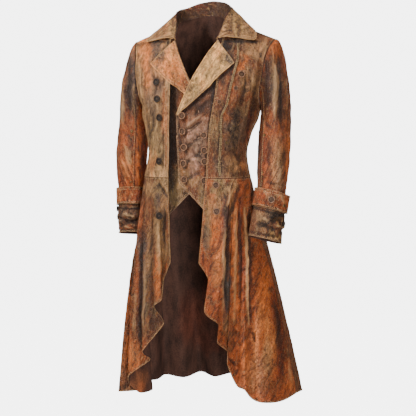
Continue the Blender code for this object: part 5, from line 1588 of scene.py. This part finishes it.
solid = add_node(stitch_tree, "GeometryNodeRealizeInstances", {0: laid.outputs[0]})
dressed = add_node(stitch_tree, "GeometryNodeSetMaterial", {0: solid.outputs[0]}, {"Material": THREAD})
add_node(stitch_tree, "NodeGroupOutput", {0: dressed.outputs[0]})

stitch_lines = [inset_line(name + side, edge, distance) for name, edge, insets in STITCH_ROWS
                for side in (SIDES if name.endswith("_") else ("",)) for distance in insets]
starts = np.cumsum([0] + [len(line) for line in stitch_lines])
stitch_edges = [(i, i + 1) for start, end in zip(starts[:-1], starts[1:]) for i in range(start, end - 1)]
guide = bpy.data.meshes.new("stitch lines")
guide.from_pydata(np.concatenate(stitch_lines).tolist(), stitch_edges, [])
stitching = placed("topstitching", guide)
modifier = stitching.modifiers.new("stitches", "NODES")
modifier.node_group = stitch_tree
for identifier, value in inputs.items():
    modifier[identifier] = value
ready = stitching.evaluated_get(bpy.context.evaluated_depsgraph_get())
stitched = bpy.data.meshes.new_from_object(ready)
stitching.modifiers.remove(modifier)
stitching.data = stitched
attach(stitching, "root")

# Camera, floor and lights: the photo's quarter view, level with the chest, on plain pale ground.

CAMERA_FAR, CAMERA_Z = 4.0, -0.284
# The photo in pixels: its side, its focal length, and where the coat's middle and the camera's level lie
PHOTO_SIDE, FOCAL, MIDDLE_ACROSS, LEVEL_DOWN = 416.0, 1308.0, 205.0, 115.0
camera_data = bpy.data.cameras.new("camera")
camera = placed("camera", camera_data)
camera_data.sensor_width = 36.0
camera_data.lens = 36.0 * FOCAL / PHOTO_SIDE
camera.location = (CAMERA_FAR * math.sin(QUARTER), -CAMERA_FAR * math.cos(QUARTER), CAMERA_Z)
pitch = math.atan((PHOTO_SIDE / 2.0 - LEVEL_DOWN) / FOCAL)
turn = math.atan((PHOTO_SIDE / 2.0 - MIDDLE_ACROSS) / FOCAL)
camera.rotation_euler = (math.pi / 2.0 - pitch, 0.0, QUARTER - turn)
bpy.context.scene.camera = camera

# A round studio bowl: a paper floor that curves up into a wall, lit like a backdrop of its own.
# Neither sends light back to the coat, as paper hung well behind and below it wouldn't.
FLOOR_Z, FLAT_REACH, BEND, WALL_TOP = -1.50, 4.5, 2.0, 6.5
AROUND = 72
# Radius and height of each ring of the bowl
BOWL = [(0.5, 0.0), (FLAT_REACH, 0.0)]
BOWL += [(FLAT_REACH + BEND * math.sin(a), BEND - BEND * math.cos(a))
         for a in np.linspace(0.15, math.pi / 2.0, 10)]
BOWL += [(FLAT_REACH + BEND, WALL_TOP)]
bowl_points = [(0.0, 0.0, FLOOR_Z)]
bowl_points += [(r * math.cos(a), r * math.sin(a), FLOOR_Z + z)
                for r, z in BOWL for a in np.linspace(0.0, 2.0 * math.pi, AROUND, endpoint=False)]
sectors = [(1 + i, 1 + (i + 1) % AROUND) for i in range(AROUND)]
bowl_faces = [(0, i, after) for i, after in sectors]
bowl_faces += [(ring + i, ring + AROUND + i, ring + AROUND + after, ring + after)
               for ring in range(0, AROUND * (len(BOWL) - 1), AROUND) for i, after in sectors]
bowl = bpy.data.meshes.new("floor")
bowl.from_pydata(bowl_points, [], bowl_faces)
bowl.shade_smooth()
floor = placed("floor", bowl)
floor.visible_diffuse = False
floor.visible_glossy = False
paper, _, shader = new_finish("matt white paper")
shader.inputs["Base Color"].default_value = (0.04, 0.04, 0.04, 1.0)
shader.inputs["Roughness"].default_value = 0.9
shader.inputs["Emission Color"].default_value = (1.0, 1.0, 1.0, 1.0)
shader.inputs["Emission Strength"].default_value = 5.4
bowl.materials.append(paper)

# Each lamp: name, place, side of its square, power. All look at the middle of the coat
MIDDLE = np.array([0.0, 0.0, -0.5])
for name, place, size, power in (
    ("key", (-2.2, -2.5, 2.1), 0.4, 385.0),
    ("front", (1.9, -3.6, 0.2), 1.0, 104.0),
    ("low", (1.2, -2.6, -1.2), 0.7, 115.0),
    ("top", (0.3, -0.6, 2.6), 0.6, 55.0),
    ("back left", (1.3, 3.6, 0.6), 1.4, 190.0),
    ("back right", (-1.5, 3.6, 0.3), 1.4, 160.0),
):
    lamp_data = bpy.data.lights.new(name, "AREA")
    lamp_data.size = size
    lamp_data.energy = power
    lamp = placed(name, lamp_data)
    lamp.location = place
    way = unit(MIDDLE - np.array(place))
    lamp.rotation_euler = (math.acos(-way[2]), 0.0, math.atan2(-way[0], way[1]))
    # The back lamps leave no pale gleam along the coat's outline
    lamp.visible_glossy = not name.startswith("back")
world = bpy.data.worlds.new("studio")
world.use_nodes = True
world.node_tree.nodes["Background"].inputs["Color"].default_value = (1.0, 1.0, 1.0, 1.0)
world.node_tree.nodes["Background"].inputs["Strength"].default_value = 0.09
bpy.context.scene.world = world
